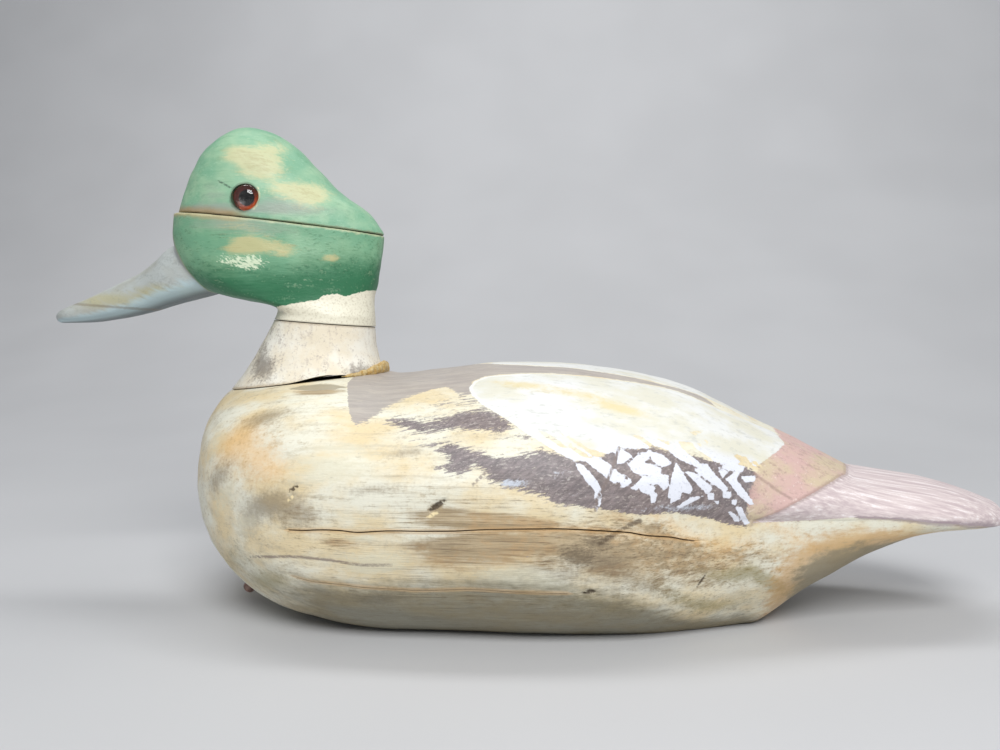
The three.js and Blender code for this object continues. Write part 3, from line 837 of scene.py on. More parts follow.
# Head paint, as (x, height) seen from the side
GREEN_EDGE = profile([
    (-106, 134.2), (-100, 135), (-92.6, 136.3), (-83.7, 137.9), (-82.3, 139.4), (-76.5, 140.4), (-73.2, 139.5),
    (-69.7, 140.5), (-64, 142.3), (-58, 142.6),
])
CROWN_WORN = [
    (-113, 199, 7, 6, 1.0), (-106, 196, 6, 5, 0.9), (-120, 202, 5, 3, 0.7), (-92, 185, 8, 4.5, 0.9),
    (-86, 183, 5, 4, 0.7), (-104, 205, 4, 3, 0.5), (-100, 187, 6, 2, 0.5),
]
CROWN_LILAC = [(-110, 177, 26, 2.6, 0.9), (-138, 176, 10, 3, 0.8), (-100, 181, 12, 3, 0.5), (-128, 184, 6, 5, 0.4)]
CHEEK_WORN = [
    (-113, 162, 6, 3.6, 0.9), (-104, 161, 8, 3, 0.9), (-120, 160, 5, 3, 0.6), (-78.5, 156.2, 3.2, 1.7, 1.0),
    (-118, 170, 10, 2.5, 0.4), (-97, 158, 5, 2, 0.5),
]
CHEEK_LILAC = [(-125, 172, 20, 3.5, 0.7), (-105, 168, 16, 4, 0.5)]
CHEEK_FLECKS = [(-120, 155, 11, 4.5, 1.0), (-110, 153, 6, 3, 0.9), (-86, 146.5, 9, 1.2, 0.8)]
CROWN_SCRATCH = [(-126.9, 189.6), (-123, 187.6), (-120.6, 186.2)]
EYE_CRESCENT = [(-109.4, 186.4), (-108.6, 182.5), (-109.6, 178.6), (-111, 177)]


def head_paint(piece, seam, rise, worn, lilac, flecks):
    points = points_of(piece)
    x, y, z = points.T
    near = y < 0
    shifted = x + np.where(near, 0, 4 * np.sin(z / 9) + 3)
    lifted = z + np.where(near, 0, 2.5 * np.sin(x / 11))
    side = np.clip(np.abs(y) / 9, 0, 1)
    mark(piece, "worn", spots(worn, shifted, lifted) * (0.35 + 0.65 * side))
    mark(piece, "lilac", spots(lilac, shifted, lifted))
    mark(piece, "fleck", spots(flecks, shifted, lifted) * side if flecks else np.zeros_like(x))
    mark(piece, "seam", np.abs(z - seam - rise * (x - HEAD_X)))
    mark(piece, "front", np.clip((-112 - x) / 8, 0, 1))
    return points


def paint_crown(crown):
    points = head_paint(crown, *CROWN_JOINT, CROWN_WORN, CROWN_LILAC, [])
    x, y, z = points.T
    mark(crown, "scratch", np.where(y < 0, stroke(CROWN_SCRATCH, x, z), 9))
    mark(crown, "eye_rim", np.hypot(x - EYE[0], z - EYE[2]))
    mark(crown, "crescent", np.where(y < 0, stroke(EYE_CRESCENT, x, z), 9))


def paint_cheek(cheek):
    points = head_paint(cheek, *CROWN_JOINT, CHEEK_WORN, CHEEK_LILAC, CHEEK_FLECKS)
    x, y, z = points.T
    mark(cheek, "bill", cover(bill_border(z) - x, 1.0))
    mark(cheek, "collar", cover(GREEN_EDGE(x) - z, 1.6))
    mark(cheek, "deep", np.clip((160 - z) / 16, 0, 1) + 0.25 * np.clip((x + 95) / 20, 0, 1))
    mark(cheek, "neck_seam", np.abs(z - NECK_JOINT[0] - NECK_JOINT[1] * (x - HEAD_X)))
    mark(cheek, "bill_yellow", spots([(-186, 138, 16, 3.5, 1), (-163, 142, 8, 3, 0.9), (-146, 141.5, 5, 2.5, 1)], x, z))
    low = (z - bill_bottom(x)) / np.maximum(bill_top(x) - bill_bottom(x), 1)
    mark(cheek, "bill_height", low)


def paint_neck(neck):
    points = points_of(neck)
    x, y, z = points.T
    mark(neck, "seam", np.abs(z - NECK_JOINT[0] - NECK_JOINT[1] * (x - HEAD_X)))
    foot = z - SEAT[0] - SEAT[1] * (x - HEAD_X)
    mark(neck, "foot", foot)
    smudge = spots([(-108, 107.5, 6, 5, 1), (-112, 116, 4, 7, 0.5), (-104, 124, 5, 4, 0.4), (-66, 106, 5, 3, 0.9)], x, z)
    mark(neck, "grime", smudge)


# Finishes

def paint(red, green, blue):
    """A paint colour, given as it looks on a screen."""
    values = [v / 255 for v in (red, green, blue)]
    return tuple(v / 12.92 if v <= 0.04045 else ((v + 0.055) / 1.055) ** 2.4 for v in values) + (1.0,)


class Finish:
    """One material, built up from bare wood outwards."""

    def __init__(self, name):
        self.material = bpy.data.materials.new(name)
        self.material.use_nodes = True
        self.tree = self.material.node_tree
        self.tree.nodes.clear()
        self.shader = self.add("ShaderNodeBsdfPrincipled")
        output = self.add("ShaderNodeOutputMaterial")
        self.tree.links.new(self.shader.outputs[0], output.inputs["Surface"])
        coordinates = self.add("ShaderNodeTexCoord")
        self.at = self.vector("SCALE", coordinates.outputs["Object"], Scale=1000.0)

    def add(self, kind, **settings):
        node = self.tree.nodes.new(kind)
        for key, value in settings.items():
            setattr(node, key, value)
        return node

    def feed(self, socket, value):
        if isinstance(value, bpy.types.NodeSocket):
            self.tree.links.new(value, socket)
        else:
            socket.default_value = value

    def vector(self, operation, first, second=None, Scale=None):
        node = self.add("ShaderNodeVectorMath", operation=operation)
        self.feed(node.inputs[0], first)
        if second is not None:
            self.feed(node.inputs[1], second)
        if Scale is not None:
            node.inputs["Scale"].default_value = Scale
        return node.outputs[0]

    def maths(self, operation, first, second=0.0, clamp=False):
        node = self.add("ShaderNodeMath", operation=operation, use_clamp=clamp)
        self.feed(node.inputs[0], first)
        self.feed(node.inputs[1], second)
        return node.outputs[0]

    def layer(self, name):
        return self.add("ShaderNodeAttribute", attribute_name=name).outputs["Fac"]

    def tilted(self, degrees):
        """Coordinates turned in the side view, for brush strokes that slope."""
        node = self.add("ShaderNodeVectorRotate", rotation_type="Y_AXIS")
        self.feed(node.inputs["Vector"], self.at)
        node.inputs["Angle"].default_value = math.radians(degrees)
        return node.outputs[0]

    def noise(self, stretch, detail=3.0, roughness=0.55, at=None, shift=0.0):
        """Noise from 0 to 1, with stretch features a millimetre along each axis."""
        place = self.vector("MULTIPLY", at or self.at, stretch)
        place = self.vector("ADD", place, (shift, shift * 0.7, shift * 1.3))
        node = self.add("ShaderNodeTexNoise")
        self.feed(node.inputs["Vector"], place)
        node.inputs["Scale"].default_value = 1.0
        node.inputs["Detail"].default_value = detail
        node.inputs["Roughness"].default_value = roughness
        return node.outputs["Fac"]

    def ease(self, value, low, high, to_low=0.0, to_high=1.0):
        node = self.add("ShaderNodeMapRange", interpolation_type="SMOOTHSTEP")
        for name, number in (("Value", value), ("From Min", low), ("From Max", high),
                             ("To Min", to_low), ("To Max", to_high)):
            self.feed(node.inputs[name], number)
        return node.outputs["Result"]

    def swing(self, value, amount):
        """Noise about its middle, times amount."""
        return self.maths("MULTIPLY", self.maths("SUBTRACT", value, 0.5), amount)

    def sum(self, *values):
        total = values[0]
        for value in values[1:]:
            total = self.maths("ADD", total, value)
        return total

    def over(self, amount, under, top):
        node = self.add("ShaderNodeMix", data_type="RGBA", clamp_factor=True)
        self.feed(node.inputs[0], amount)
        self.feed(node.inputs[6], under)
        self.feed(node.inputs[7], top)
        return node.outputs[2]

    def blend(self, amount, under, top):
        node = self.add("ShaderNodeMix", data_type="FLOAT", clamp_factor=True)
        self.feed(node.inputs[0], amount)
        self.feed(node.inputs[2], under)
        self.feed(node.inputs[3], top)
        return node.outputs[0]

    def close(self, colour, roughness, height=None):
        """height is in millimetres."""
        self.feed(self.shader.inputs["Base Color"], colour)
        self.feed(self.shader.inputs["Roughness"], roughness)
        if height is not None:
            bump = self.add("ShaderNodeBump")
            bump.inputs["Strength"].default_value = 1.0
            bump.inputs["Distance"].default_value = MM
            self.feed(bump.inputs["Height"], height)
            self.tree.links.new(bump.outputs[0], self.shader.inputs["Normal"])
        return self.material


def body_finish():
    f = Finish("old_decoy_paint")
    grain = f.noise((0.035, 1.7, 1.7), 5, 0.65)
    streak = f.noise((0.028, 0.4, 0.4), 5, 0.62, shift=9)
    cloud = f.noise((0.032, 0.055, 0.055), 5, 0.6, shift=31)
    speck = f.noise((0.8, 1.1, 1.1), 3, 0.65, shift=5)
    fleck = f.noise((0.22, 0.4, 0.4), 5, 0.7, shift=17)
    brushed = f.noise((0.07, 0.9, 1.2), 4, 0.65, at=f.tilted(14), shift=3)
    feathered = f.noise((0.1, 0.9, 0.9), 3, 0.6, at=f.tilted(38), shift=23)
    scraped = f.noise((0.9, 0.5, 0.12), 3, 0.6, shift=61)
    belly = f.layer("belly")
    under = f.layer("under")
    low = f.layer("low")

    cream = f.over(f.ease(cloud, 0.38, 0.66), paint(231, 229, 212), paint(226, 208, 168))
    cream = f.over(f.ease(f.sum(streak, f.swing(speck, 0.4)), 0.46, 0.76, 0, 0.5), cream, paint(186, 176, 152))
    cream = f.over(f.ease(f.sum(fleck, f.swing(grain, 0.6)), 0.56, 0.78, 0, 0.45), cream, paint(150, 138, 114))

    wood = f.over(f.ease(streak, 0.36, 0.66), paint(190, 169, 134), paint(156, 136, 104))
    wood = f.over(f.ease(f.sum(cloud, f.swing(fleck, 0.6)), 0.46, 0.66, 0, 0.5), wood, paint(196, 158, 112))
    wood = f.over(f.ease(grain, 0.48, 0.66, 0, 0.5), wood, paint(116, 96, 70))
    bare = f.sum(f.layer("bare"), f.swing(grain, 0.7), f.swing(streak, 1.2), f.swing(fleck, 0.5))
    colour = f.over(f.ease(bare, 0.15, 0.75, 0, 0.92), cream, wood)
    line = f.ease(grain, 0.54, 0.68, 0, 0.5)
    colour = f.over(f.maths("MULTIPLY", line, f.blend(belly, 0.12, 0.9)), colour, paint(112, 92, 66))

    stains = (
        ("ochre", paint(232, 184, 112), 0.62), ("olive", paint(142, 132, 84), 0.62), ("grime", paint(126, 112, 92), 0.66),
    )
    for name, tint, strength in stains:
        amount = f.sum(f.layer(name), f.swing(fleck, 0.9), f.swing(speck, 0.5), f.swing(scraped, 0.4))
        colour = f.over(f.maths("MULTIPLY", f.ease(amount, 0.0, 1.0), strength), colour, tint)
    pale = f.sum(f.layer("pale"), f.swing(streak, 1.1), f.swing(speck, 0.7), f.swing(fleck, 0.6))
    colour = f.over(f.ease(pale, 0.25, 0.9, 0, 0.7), colour, paint(224, 220, 196))
    # Painted shade: the lower flanks darken towards the keel.
    painted_low_shade = f.sum(low, f.swing(streak, 0.7), f.swing(fleck, 0.5))
    colour = f.over(f.ease(painted_low_shade, 0.1, 1.0, 0, 0.75), colour, paint(104, 98, 78))

    # Below the tail's edge: an ochre stain near the edge, then painted shade, grey, further under the tail.
    under_tail_stain_and_shade = f.sum(under, f.swing(streak, 0.8), f.swing(fleck, 0.7))
    colour = f.over(f.ease(under_tail_stain_and_shade, 0.2, 0.7, 0, 0.6), colour, paint(206, 160, 96))
    colour = f.over(f.ease(under_tail_stain_and_shade, 0.75, 1.3, 0, 0.75), colour, paint(128, 126, 108))

    mantle = f.ease(f.sum(f.layer("mantle"), f.swing(brushed, 1.7), f.swing(speck, 0.5)), 0.38, 0.62, 0, 0.95)
    mantle_colour = f.over(f.ease(streak, 0.35, 0.65), paint(166, 158, 153), paint(182, 174, 166))
    mantle_colour = f.over(f.ease(fleck, 0.52, 0.72, 0, 0.5), mantle_colour, paint(194, 186, 172))
    mantle_colour = f.over(f.ease(grain, 0.5, 0.7, 0, 0.4), mantle_colour, paint(136, 126, 126))
    colour = f.over(mantle, colour, mantle_colour)

    dark = f.ease(f.sum(f.layer("dark"), f.swing(brushed, 1.9), f.swing(speck, 0.8)), 0.36, 0.66, 0, 0.92)
    dark_colour = f.over(f.ease(feathered, 0.38, 0.64), paint(98, 88, 94), paint(128, 116, 120))
    dark_colour = f.over(f.ease(f.sum(speck, f.swing(brushed, 0.9)), 0.58, 0.74, 0, 0.6), dark_colour, paint(190, 182, 176))
    colour = f.over(dark, colour, dark_colour)
    wear = f.sum(f.layer("wear"), f.swing(speck, 1.0), f.swing(feathered, 0.8))
    colour = f.over(f.ease(wear, 0.4, 0.9, 0, 0.85), colour, paint(202, 210, 222))

    rump = f.ease(f.sum(f.layer("rump"), f.swing(fleck, 1.3), f.swing(speck, 0.7)), 0.3, 0.7, 0, 0.95)
    rump_colour = f.over(f.ease(cloud, 0.4, 0.62), paint(206, 172, 166), paint(204, 188, 160))
    rump_colour = f.over(f.ease(f.sum(fleck, f.swing(speck, 0.6)), 0.5, 0.72, 0, 0.6), rump_colour, paint(160, 130, 126))
    rump_colour = f.over(f.ease(f.sum(feathered, f.swing(speck, 0.6)), 0.6, 0.76, 0, 0.6), rump_colour, paint(232, 216, 208))
    colour = f.over(rump, colour, rump_colour)

    white = f.ease(f.sum(f.layer("white"), f.swing(feathered, 0.8), f.swing(speck, 0.5)), 0.36, 0.62)
    white_colour = f.over(f.ease(cloud, 0.4, 0.6), paint(226, 227, 224), paint(218, 216, 200))
    white_colour = f.over(f.ease(f.sum(fleck, f.swing(streak, 0.7)), 0.52, 0.72, 0, 0.5), white_colour, paint(186, 188, 182))
    yellowed = f.sum(f.layer("yellowed"), f.swing(fleck, 0.9), f.swing(speck, 0.4))
    white_colour = f.over(f.ease(yellowed, 0.2, 0.9, 0, 0.7), white_colour, paint(222, 204, 146))
    ground = f.layer("ground")
    cool = f.over(f.ease(speck, 0.54, 0.7, 0, 0.4), paint(226, 229, 238), paint(176, 176, 188))
    white_colour = f.over(ground, white_colour, cool)
    white_colour = f.over(f.ease(f.layer("patch_rim"), 1.9, 1.0, 0, 0.7), white_colour, paint(240, 240, 236))
    colour = f.over(white, colour, white_colour)

    tail = f.ease(f.sum(f.layer("tail"), f.swing(speck, 0.6)), 0.4, 0.6)
    combed = f.noise((0.035, 0.6, 0.7), 4, 0.62, at=f.tilted(-8), shift=41)
    tail_colour = f.over(f.ease(combed, 0.34, 0.62), paint(194, 178, 180), paint(220, 207, 205))
    tail_colour = f.over(f.ease(f.sum(combed, f.swing(speck, 0.3)), 0.56, 0.68, 0, 0.8), tail_colour, paint(238, 231, 232))
    colour = f.over(tail, colour, tail_colour)
    rim = f.sum(f.layer("tail_rim"), f.swing(fleck, 2.5))
    colour = f.over(f.ease(rim, 1.6, 0.5, 0, 0.65), colour, paint(142, 124, 132))

    border = f.sum(f.layer("rump_line"), f.swing(speck, 2.0))
    colour = f.over(f.ease(border, 1.5, 0.2, 0, 0.5), colour, paint(140, 116, 108))
    score = f.sum(f.layer("score"), f.swing(speck, 0.8))
    colour = f.over(f.ease(score, 0.9, 0.3, 0, 0.75), colour, paint(124, 110, 104))
    colour = f.over(f.ease(f.layer("chip_bare"), -0.2, 0.6, 0, 0.85), colour, paint(160, 150, 128))
    scrape = f.sum(f.layer("scrape"), f.swing(speck, 1.2), f.swing(grain, 0.9))
    colour = f.over(f.ease(scrape, 0.35, 0.95, 0, 0.6), colour, paint(102, 90, 72))
    gouge = f.sum(f.layer("gouge"), f.swing(speck, 1.0))
    colour = f.over(f.ease(gouge, 1.1, 0.3, 0, 0.8), colour, paint(92, 76, 58))
    colour = f.over(f.ease(f.layer("chip_light"), -0.1, 0.5), colour, paint(240, 222, 176))
    colour = f.over(f.ease(f.layer("notch"), -0.2, 0.3, 0, 0.9), colour, paint(76, 62, 46))
    gap = f.layer("gap")
    colour = f.over(f.ease(f.sum(gap, f.swing(fleck, 1.4)), 1.6, 0.5, 0, 0.4), colour, paint(206, 164, 108))
    colour = f.over(f.ease(gap, 0.36, 0.14, 0, 0.85), colour, paint(84, 66, 44))

    relief = f.sum(
        f.maths("MULTIPLY", grain, f.blend(belly, 0.08, 0.22)), f.maths("MULTIPLY", streak, 0.14),
        f.maths("MULTIPLY", speck, 0.05), f.maths("MULTIPLY", white, 0.07), f.maths("MULTIPLY", dark, 0.03),
        f.maths("MULTIPLY", combed, 0.12),
    )
    roughness = f.sum(f.ease(bare, 0.3, 0.7, 0.48, 0.62), f.swing(fleck, 0.2))
    return f.close(colour, roughness, relief)


def underside_finish():
    f = Finish("planed_underside")
    grain = f.noise((0.04, 1.3, 1.0), 5, 0.65)
    stain = f.noise((0.02, 0.03, 0.03), 4, 0.6, shift=4)
    colour = f.over(f.ease(grain, 0.35, 0.68), paint(92, 76, 58), paint(150, 130, 100))
    colour = f.over(f.ease(f.sum(stain, f.swing(grain, 0.6)), 0.42, 0.66, 0, 0.8), colour, paint(176, 168, 144))
    return f.close(colour, f.ease(stain, 0.3, 0.7, 0.6, 0.75), f.maths("MULTIPLY", grain, 0.4))


def green_base(f):
    """Green paint with its brush marks, shared by both boards of the head."""
    grain = f.noise((0.09, 1.3, 1.3), 5, 0.62)
    streak = f.noise((0.05, 0.4, 0.4), 4, 0.6, shift=12)
    mottle = f.noise((0.06, 0.07, 0.07), 3, 0.6, shift=22)
    speck = f.noise((0.9, 1.1, 1.1), 3, 0.6, shift=15)
    return grain, streak, mottle, speck


def crown_finish():
    f = Finish("faded_green_crown")
    grain, streak, mottle, speck = green_base(f)
    colour = f.over(f.ease(mottle, 0.36, 0.64), paint(122, 172, 140), paint(148, 186, 152))
    colour = f.over(f.ease(f.sum(streak, f.swing(grain, 0.5)), 0.48, 0.74, 0, 0.55), colour, paint(92, 150, 116))
    colour = f.over(f.ease(f.sum(grain, f.swing(speck, 0.5)), 0.55, 0.75, 0, 0.4), colour, paint(172, 210, 180))
    lilac = f.sum(f.layer("lilac"), f.swing(streak, 0.9), f.swing(mottle, 0.5))
    colour = f.over(f.ease(lilac, 0.1, 1.0, 0, 0.8), colour, paint(152, 160, 150))
    worn = f.sum(f.layer("worn"), f.swing(grain, 0.8), f.swing(streak, 1.1), f.swing(speck, 0.4))
    colour = f.over(f.ease(worn, 0.15, 0.95, 0, 0.8), colour, paint(206, 202, 158))
    colour = f.over(f.ease(f.sum(worn, f.swing(grain, 1.4)), 0.9, 1.6, 0, 0.45), colour, paint(170, 158, 118))
    seam = f.layer("seam")
    front = f.layer("front")
    dirt = f.sum(seam, f.swing(streak, 2.5), f.swing(speck, 1.0))
    colour = f.over(f.maths("MULTIPLY", f.ease(dirt, 4.0, 0.8, 0, 0.8), front), colour, paint(164, 136, 96))
    colour = f.over(f.ease(dirt, 1.3, 0.3, 0, 0.55), colour, paint(128, 116, 86))
    crescent = f.sum(f.layer("crescent"), f.swing(speck, 0.9))
    colour = f.over(f.ease(crescent, 0.9, 0.3, 0, 0.85), colour, paint(224, 220, 180))
    colour = f.over(f.ease(f.sum(f.layer("scratch"), f.swing(speck, 0.5)), 0.6, 0.2, 0, 0.8), colour, paint(52, 74, 62))
    rim = f.sum(f.layer("eye_rim"), f.swing(streak, 1.4), f.swing(speck, 0.6))
    colour = f.over(f.ease(rim, 7.0, 6.1, 0, 0.6), colour, paint(62, 74, 56))
    relief = f.sum(f.maths("MULTIPLY", grain, 0.14), f.maths("MULTIPLY", streak, 0.1))
    return f.close(colour, f.ease(streak, 0.3, 0.7, 0.44, 0.58), relief)


def cheek_finish():
    f = Finish("green_cheek_and_bill")
    grain, streak, mottle, speck = green_base(f)
    green = f.over(f.ease(mottle, 0.36, 0.64), paint(112, 164, 130), paint(132, 176, 140))
    deep = f.sum(f.layer("deep"), f.swing(streak, 0.8), f.swing(grain, 0.4), f.swing(mottle, 0.6))
    green = f.over(f.ease(deep, 0.1, 1.0), green, paint(46, 112, 76))
    green = f.over(f.ease(f.sum(grain, f.swing(streak, 0.6)), 0.54, 0.74, 0, 0.5), green, paint(34, 92, 62))
    green = f.over(f.ease(f.sum(speck, f.swing(streak, 0.9)), 0.58, 0.76, 0, 0.3), green, paint(152, 186, 150))
    lilac = f.sum(f.layer("lilac"), f.swing(streak, 0.9), f.swing(mottle, 0.5))
    green = f.over(f.ease(lilac, 0.1, 1.0, 0, 0.75), green, paint(154, 164, 148))
    worn = f.sum(f.layer("worn"), f.swing(grain, 0.9), f.swing(streak, 1.0), f.swing(speck, 0.5))
    green = f.over(f.ease(worn, 0.2, 1.0, 0, 0.75), green, paint(202, 190, 138))
    dab = f.noise((0.45, 1.1, 1.1), 4, 0.65, at=f.tilted(-30), shift=7)
    flecks = f.sum(f.maths("MULTIPLY", f.layer("fleck"), 0.42), dab)
    green = f.over(f.ease(flecks, 0.86, 1.0, 0, 0.85), green, paint(226, 238, 208))

    white = f.over(f.ease(speck, 0.46, 0.72, 0, 0.5), paint(236, 232, 212), paint(178, 168, 144))
    collar = f.ease(f.sum(f.layer("collar"), f.swing(speck, 1.0), f.swing(grain, 0.5)), 0.38, 0.6)
    colour = f.over(collar, green, white)

    bill = f.over(f.ease(mottle, 0.36, 0.64), paint(176, 182, 180), paint(168, 170, 162))
    along = f.noise((0.05, 0.22, 0.4), 5, 0.62, at=f.tilted(-24), shift=51)
    middle = f.sum(f.layer("bill_yellow"), f.swing(along, 1.2), f.swing(speck, 0.4))
    bill = f.over(f.ease(middle, 0.1, 1.0, 0, 0.6), bill, paint(180, 172, 122))
    bill = f.over(f.ease(f.sum(speck, f.swing(along, 0.9)), 0.5, 0.74, 0, 0.4), bill, paint(134, 140, 140))
    height = f.layer("bill_height")
    # Painted highlights on the bill: a light blue band along its lower edge and a pale band along its top.
    bill = f.over(f.ease(f.sum(height, f.swing(along, 0.35)), 0.36, 0.16, 0, 0.8), bill, paint(182, 206, 212))
    bill = f.over(f.ease(f.sum(height, f.swing(along, 0.3)), 0.8, 0.98, 0, 0.6), bill, paint(196, 202, 198))
    # Painted shade: dark along the bill's bottom edge.
    bill = f.over(f.ease(height, 0.1, 0.0, 0, 0.8), bill, paint(62, 66, 66))
    border = f.layer("bill")
    colour = f.over(f.ease(f.sum(border, f.swing(speck, 0.4)), 0.3, 0.7), colour, bill)
    edge = f.maths("ABSOLUTE", f.maths("SUBTRACT", border, 0.5))
    colour = f.over(f.ease(edge, 1.1, 0.2, 0, 0.45), colour, paint(150, 164, 118))
    seam = f.sum(f.layer("seam"), f.swing(streak, 3.0), f.swing(speck, 1.2))
    front = f.layer("front")
    colour = f.over(f.maths("MULTIPLY", f.ease(seam, 3.2, 0.8, 0, 0.7), front), colour, paint(190, 166, 122))
    colour = f.over(f.ease(seam, 1.5, 0.3, 0, 0.6), colour, paint(206, 202, 164))
    neck_line = f.sum(f.layer("neck_seam"), f.swing(speck, 1.0))
    colour = f.over(f.ease(neck_line, 0.9, 0.2, 0, 0.5), colour, paint(120, 108, 90))
    relief = f.sum(f.maths("MULTIPLY", grain, 0.14), f.maths("MULTIPLY", streak, 0.1), f.maths("MULTIPLY", collar, 0.05))
    return f.close(colour, f.ease(streak, 0.3, 0.7, 0.4, 0.54), relief)


def neck_finish():
    f = Finish("worn_white_neck")
    grain = f.noise((0.35, 0.5, 0.5), 5, 0.65)
    speck = f.noise((0.8, 1.0, 1.0), 5, 0.7, shift=3)
    cloud = f.noise((0.07, 0.07, 0.07), 4, 0.6, shift=13)
    brushed = f.noise((0.5, 0.4, 0.12), 4, 0.62, shift=27)
    colour = f.over(f.ease(cloud, 0.36, 0.66), paint(240, 237, 225), paint(230, 220, 198))
    colour = f.over(f.ease(f.sum(brushed, f.swing(speck, 0.7)), 0.5, 0.76, 0, 0.5), colour, paint(176, 164, 154))
    colour = f.over(f.ease(f.sum(speck, f.swing(grain, 0.6)), 0.56, 0.76, 0, 0.55), colour, paint(160, 150, 142))
    grime = f.sum(f.layer("grime"), f.swing(speck, 1.4), f.swing(brushed, 0.9))
    colour = f.over(f.ease(grime, 0.15, 1.0, 0, 0.72), colour, paint(112, 102, 94))
    seam = f.sum(f.layer("seam"), f.swing(speck, 2.0))
    colour = f.over(f.ease(seam, 1.2, 0.2, 0, 0.5), colour, paint(134, 114, 86))
    foot = f.sum(f.layer("foot"), f.swing(speck, 3.0), f.swing(cloud, 2.0))
    colour = f.over(f.ease(foot, 2.0, 0.2, 0, 0.7), colour, paint(150, 124, 82))
    relief = f.sum(f.maths("MULTIPLY", grain, 0.14), f.maths("MULTIPLY", speck, 0.08))
    return f.close(colour, f.ease(speck, 0.3, 0.7, 0.52, 0.64), relief)


def filler_finish():
    f = Finish("yellow_filler")
    lump = f.noise((0.5, 0.5, 0.5), 4, 0.65)
    speck = f.noise((1.6, 1.6, 1.6), 3, 0.6, shift=8)
    colour = f.over(f.ease(lump, 0.38, 0.62), paint(186, 150, 84), paint(206, 186, 138))
    colour = f.over(f.ease(speck, 0.56, 0.7, 0, 0.7), colour, paint(120, 96, 62))
    return f.close(colour, f.ease(lump, 0.3, 0.7, 0.5, 0.65), f.maths("MULTIPLY", speck, 0.15))


def peg_finish():
    f = Finish("pinkish_peg")
    grain = f.noise((0.6, 1.4, 0.6), 4, 0.6)
    colour = f.over(f.ease(grain, 0.36, 0.64), paint(120, 92, 84), paint(164, 132, 122))
    return f.close(colour, f.ease(grain, 0.3, 0.7, 0.5, 0.65), f.maths("MULTIPLY", grain, 0.15))


def glass_finish():
    f = Finish("clear_eye_glass")
    f.shader.inputs["Base Color"].default_value = (1, 1, 1, 1)
    f.shader.inputs["Roughness"].default_value = 0.02
    f.shader.inputs["IOR"].default_value = 1.5
    f.shader.inputs["Transmission Weight"].default_value = 1.0
    return f.material


def iris_finish():
    """A black pupil in a red-brown iris, brighter towards its lower edge."""
    f = Finish("painted_iris")
    centred = f.vector("SUBTRACT", f.at, (EYE[0], 0.0, EYE[2]))
    flat = f.vector("MULTIPLY", centred, (1.0, 0.0, 1.0))
    node = f.add("ShaderNodeVectorMath", operation="LENGTH")
    f.feed(node.inputs[0], flat)
    radius = node.outputs["Value"]
    fibre = f.noise((1.1, 1.1, 1.1), 3, 0.6)
    down = f.vector("MULTIPLY", centred, (0.12, 0.0, -0.16))
    split = f.add("ShaderNodeSeparateXYZ")
    f.feed(split.inputs[0], down)
    low = f.sum(split.outputs["X"], split.outputs["Z"], f.swing(fibre, 0.8))
    iris = f.over(f.ease(low, -0.3, 0.8), paint(92, 30, 14), paint(206, 84, 30))
    colour = f.over(f.ease(f.sum(radius, f.swing(fibre, 0.5)), 3.1, 2.6), iris, paint(8, 6, 6))
    colour = f.over(f.ease(radius, 4.9, 5.5), colour, paint(30, 12, 8))
    return f.close(colour, f.ease(fibre, 0.3, 0.7, 0.3, 0.4))


# The pieces

body = make_body()
neck = make_neck()
cheek = make_cheek()
crown = make_crown()
paint_neck(neck)
paint_cheek(cheek)
paint_crown(crown)
filler = make_filler()
peg = make_peg()
left_glass, left_iris = make_eye(-1, "eye_left")
right_glass, right_iris = make_eye(1, "eye_right")

body.data.materials.append(body_finish())
body.data.materials.append(underside_finish())
for face in body.data.polygons:
    if face.normal.z < -0.999 and face.center.z < 0.0002:
        face.material_index = 1
neck.data.materials.append(neck_finish())
cheek.data.materials.append(cheek_finish())
crown.data.materials.append(crown_finish())
filler.data.materials.append(filler_finish())
peg.data.materials.append(peg_finish())
glass = glass_finish()
iris = iris_finish()
for piece, finish in ((left_glass, glass), (right_glass, glass), (left_iris, iris), (right_iris, iris)):
    piece.data.materials.append(finish)

STANDS_FOR = (
    (body, "body", "painted_body"), (neck, "neck", "painted_neck"), (cheek, "head_cheek", "green_cheek"),
    (crown, "head_crown", "green_crown"), (left_glass, "eye_left", "eye_glass"),
    (right_glass, "eye_right", "eye_glass"), (peg, "line_peg", "peg_wood"),
)
for piece, node, slot in STANDS_FOR:
    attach(piece, "root")
    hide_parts(node)
for piece, slot in ((filler, "painted_neck"), (left_iris, "eye_glass"), (right_iris, "eye_glass")):
    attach(piece, "root")


# Floor, light and camera

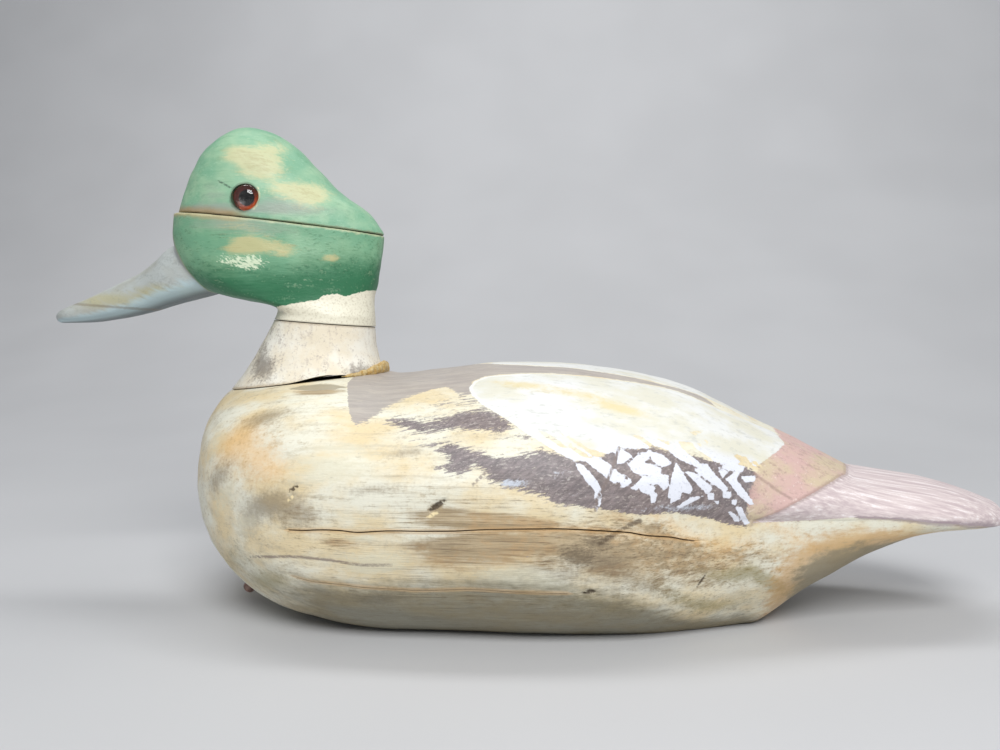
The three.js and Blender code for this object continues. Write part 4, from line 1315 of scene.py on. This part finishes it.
def make_floor():
    """A pale sweep: flat under the duck, curving up behind it."""
    bpy.ops.object.select_all(action="DESELECT")
    bpy.ops.mesh.primitive_plane_add(size=4, location=(0, -0.4, 0))
    floor = bpy.context.active_object
    floor.name = "studio_floor"
    bpy.ops.object.transform_apply(location=True, rotation=False, scale=False)

    def select_edges(low, high):
        bpy.ops.object.mode_set(mode="EDIT")
        bpy.ops.mesh.select_mode(type="EDGE")
        bpy.ops.mesh.select_all(action="DESELECT")
        bpy.ops.object.mode_set(mode="OBJECT")
        for edge in floor.data.edges:
            ends = [floor.data.vertices[i].co for i in edge.vertices]
            edge.select = all(end.y > 1.5 and low < end.z < high for end in ends)
        bpy.ops.object.mode_set(mode="EDIT")

    select_edges(-0.1, 0.1)
    bpy.ops.mesh.extrude_region_move(TRANSFORM_OT_translate={"value": (0, 0, 3)})
    select_edges(-0.1, 0.1)
    bpy.ops.mesh.bevel(offset=1.2, segments=32)
    bpy.ops.mesh.select_all(action="SELECT")
    bpy.ops.mesh.faces_shade_smooth()
    bpy.ops.object.mode_set(mode="OBJECT")
    f = Finish("pale_floor")
    tone = f.noise((0.004, 0.004, 0.004), 2, 0.5)
    colour = f.over(f.ease(tone, 0.3, 0.7), paint(192, 193, 195), paint(197, 198, 200))
    floor.data.materials.append(f.close(colour, f.ease(tone, 0.3, 0.7, 0.75, 0.8)))


def add_light(name, place, target, size, power, colour=(1, 1, 1)):
    light = bpy.data.lights.new(name, "AREA")
    light.shape = "RECTANGLE"
    light.size, light.size_y = size
    light.energy = power
    light.color = colour
    lamp = bpy.data.objects.new(name, light)
    bpy.context.scene.collection.objects.link(lamp)
    aim = Vector(target) - Vector(place)
    lamp.matrix_world = Matrix.Translation(place) @ aim.to_track_quat("-Z", "Y").to_matrix().to_4x4()


def add_camera():
    azimuth, elevation = math.radians(CAMERA_AZIMUTH), math.radians(CAMERA_ELEVATION)
    back = Vector((
        math.sin(azimuth) * math.cos(elevation), -math.cos(azimuth) * math.cos(elevation), math.sin(elevation),
    ))
    data = bpy.data.cameras.new("camera")
    data.sensor_width = 36
    data.lens = CAMERA_LENS
    data.clip_start = 0.01
    camera = bpy.data.objects.new("camera", data)
    bpy.context.scene.collection.objects.link(camera)
    place = (Vector(CAMERA_TARGET) + back * CAMERA_DISTANCE) * MM
    camera.matrix_world = Matrix.Translation(place) @ (-back).to_track_quat("-Z", "Y").to_matrix().to_4x4()
    bpy.context.scene.camera = camera


make_floor()
add_light("soft_key", (0.2, -0.85, 0.87), (0, 0, 0.1), (0.7, 0.5), 12.5)
add_light("backdrop_light", (0, 0.3, 1.6), (0, 1.4, 0.5), (1.6, 0.5), 16)
add_camera()
world = bpy.data.worlds.new("studio_air")
world.use_nodes = True
world.node_tree.nodes["Background"].inputs["Color"].default_value = (0.86, 0.88, 0.92, 1)
world.node_tree.nodes["Background"].inputs["Strength"].default_value = 0.3
bpy.context.scene.world = world
bpy.context.scene.view_settings.view_transform = "Standard"
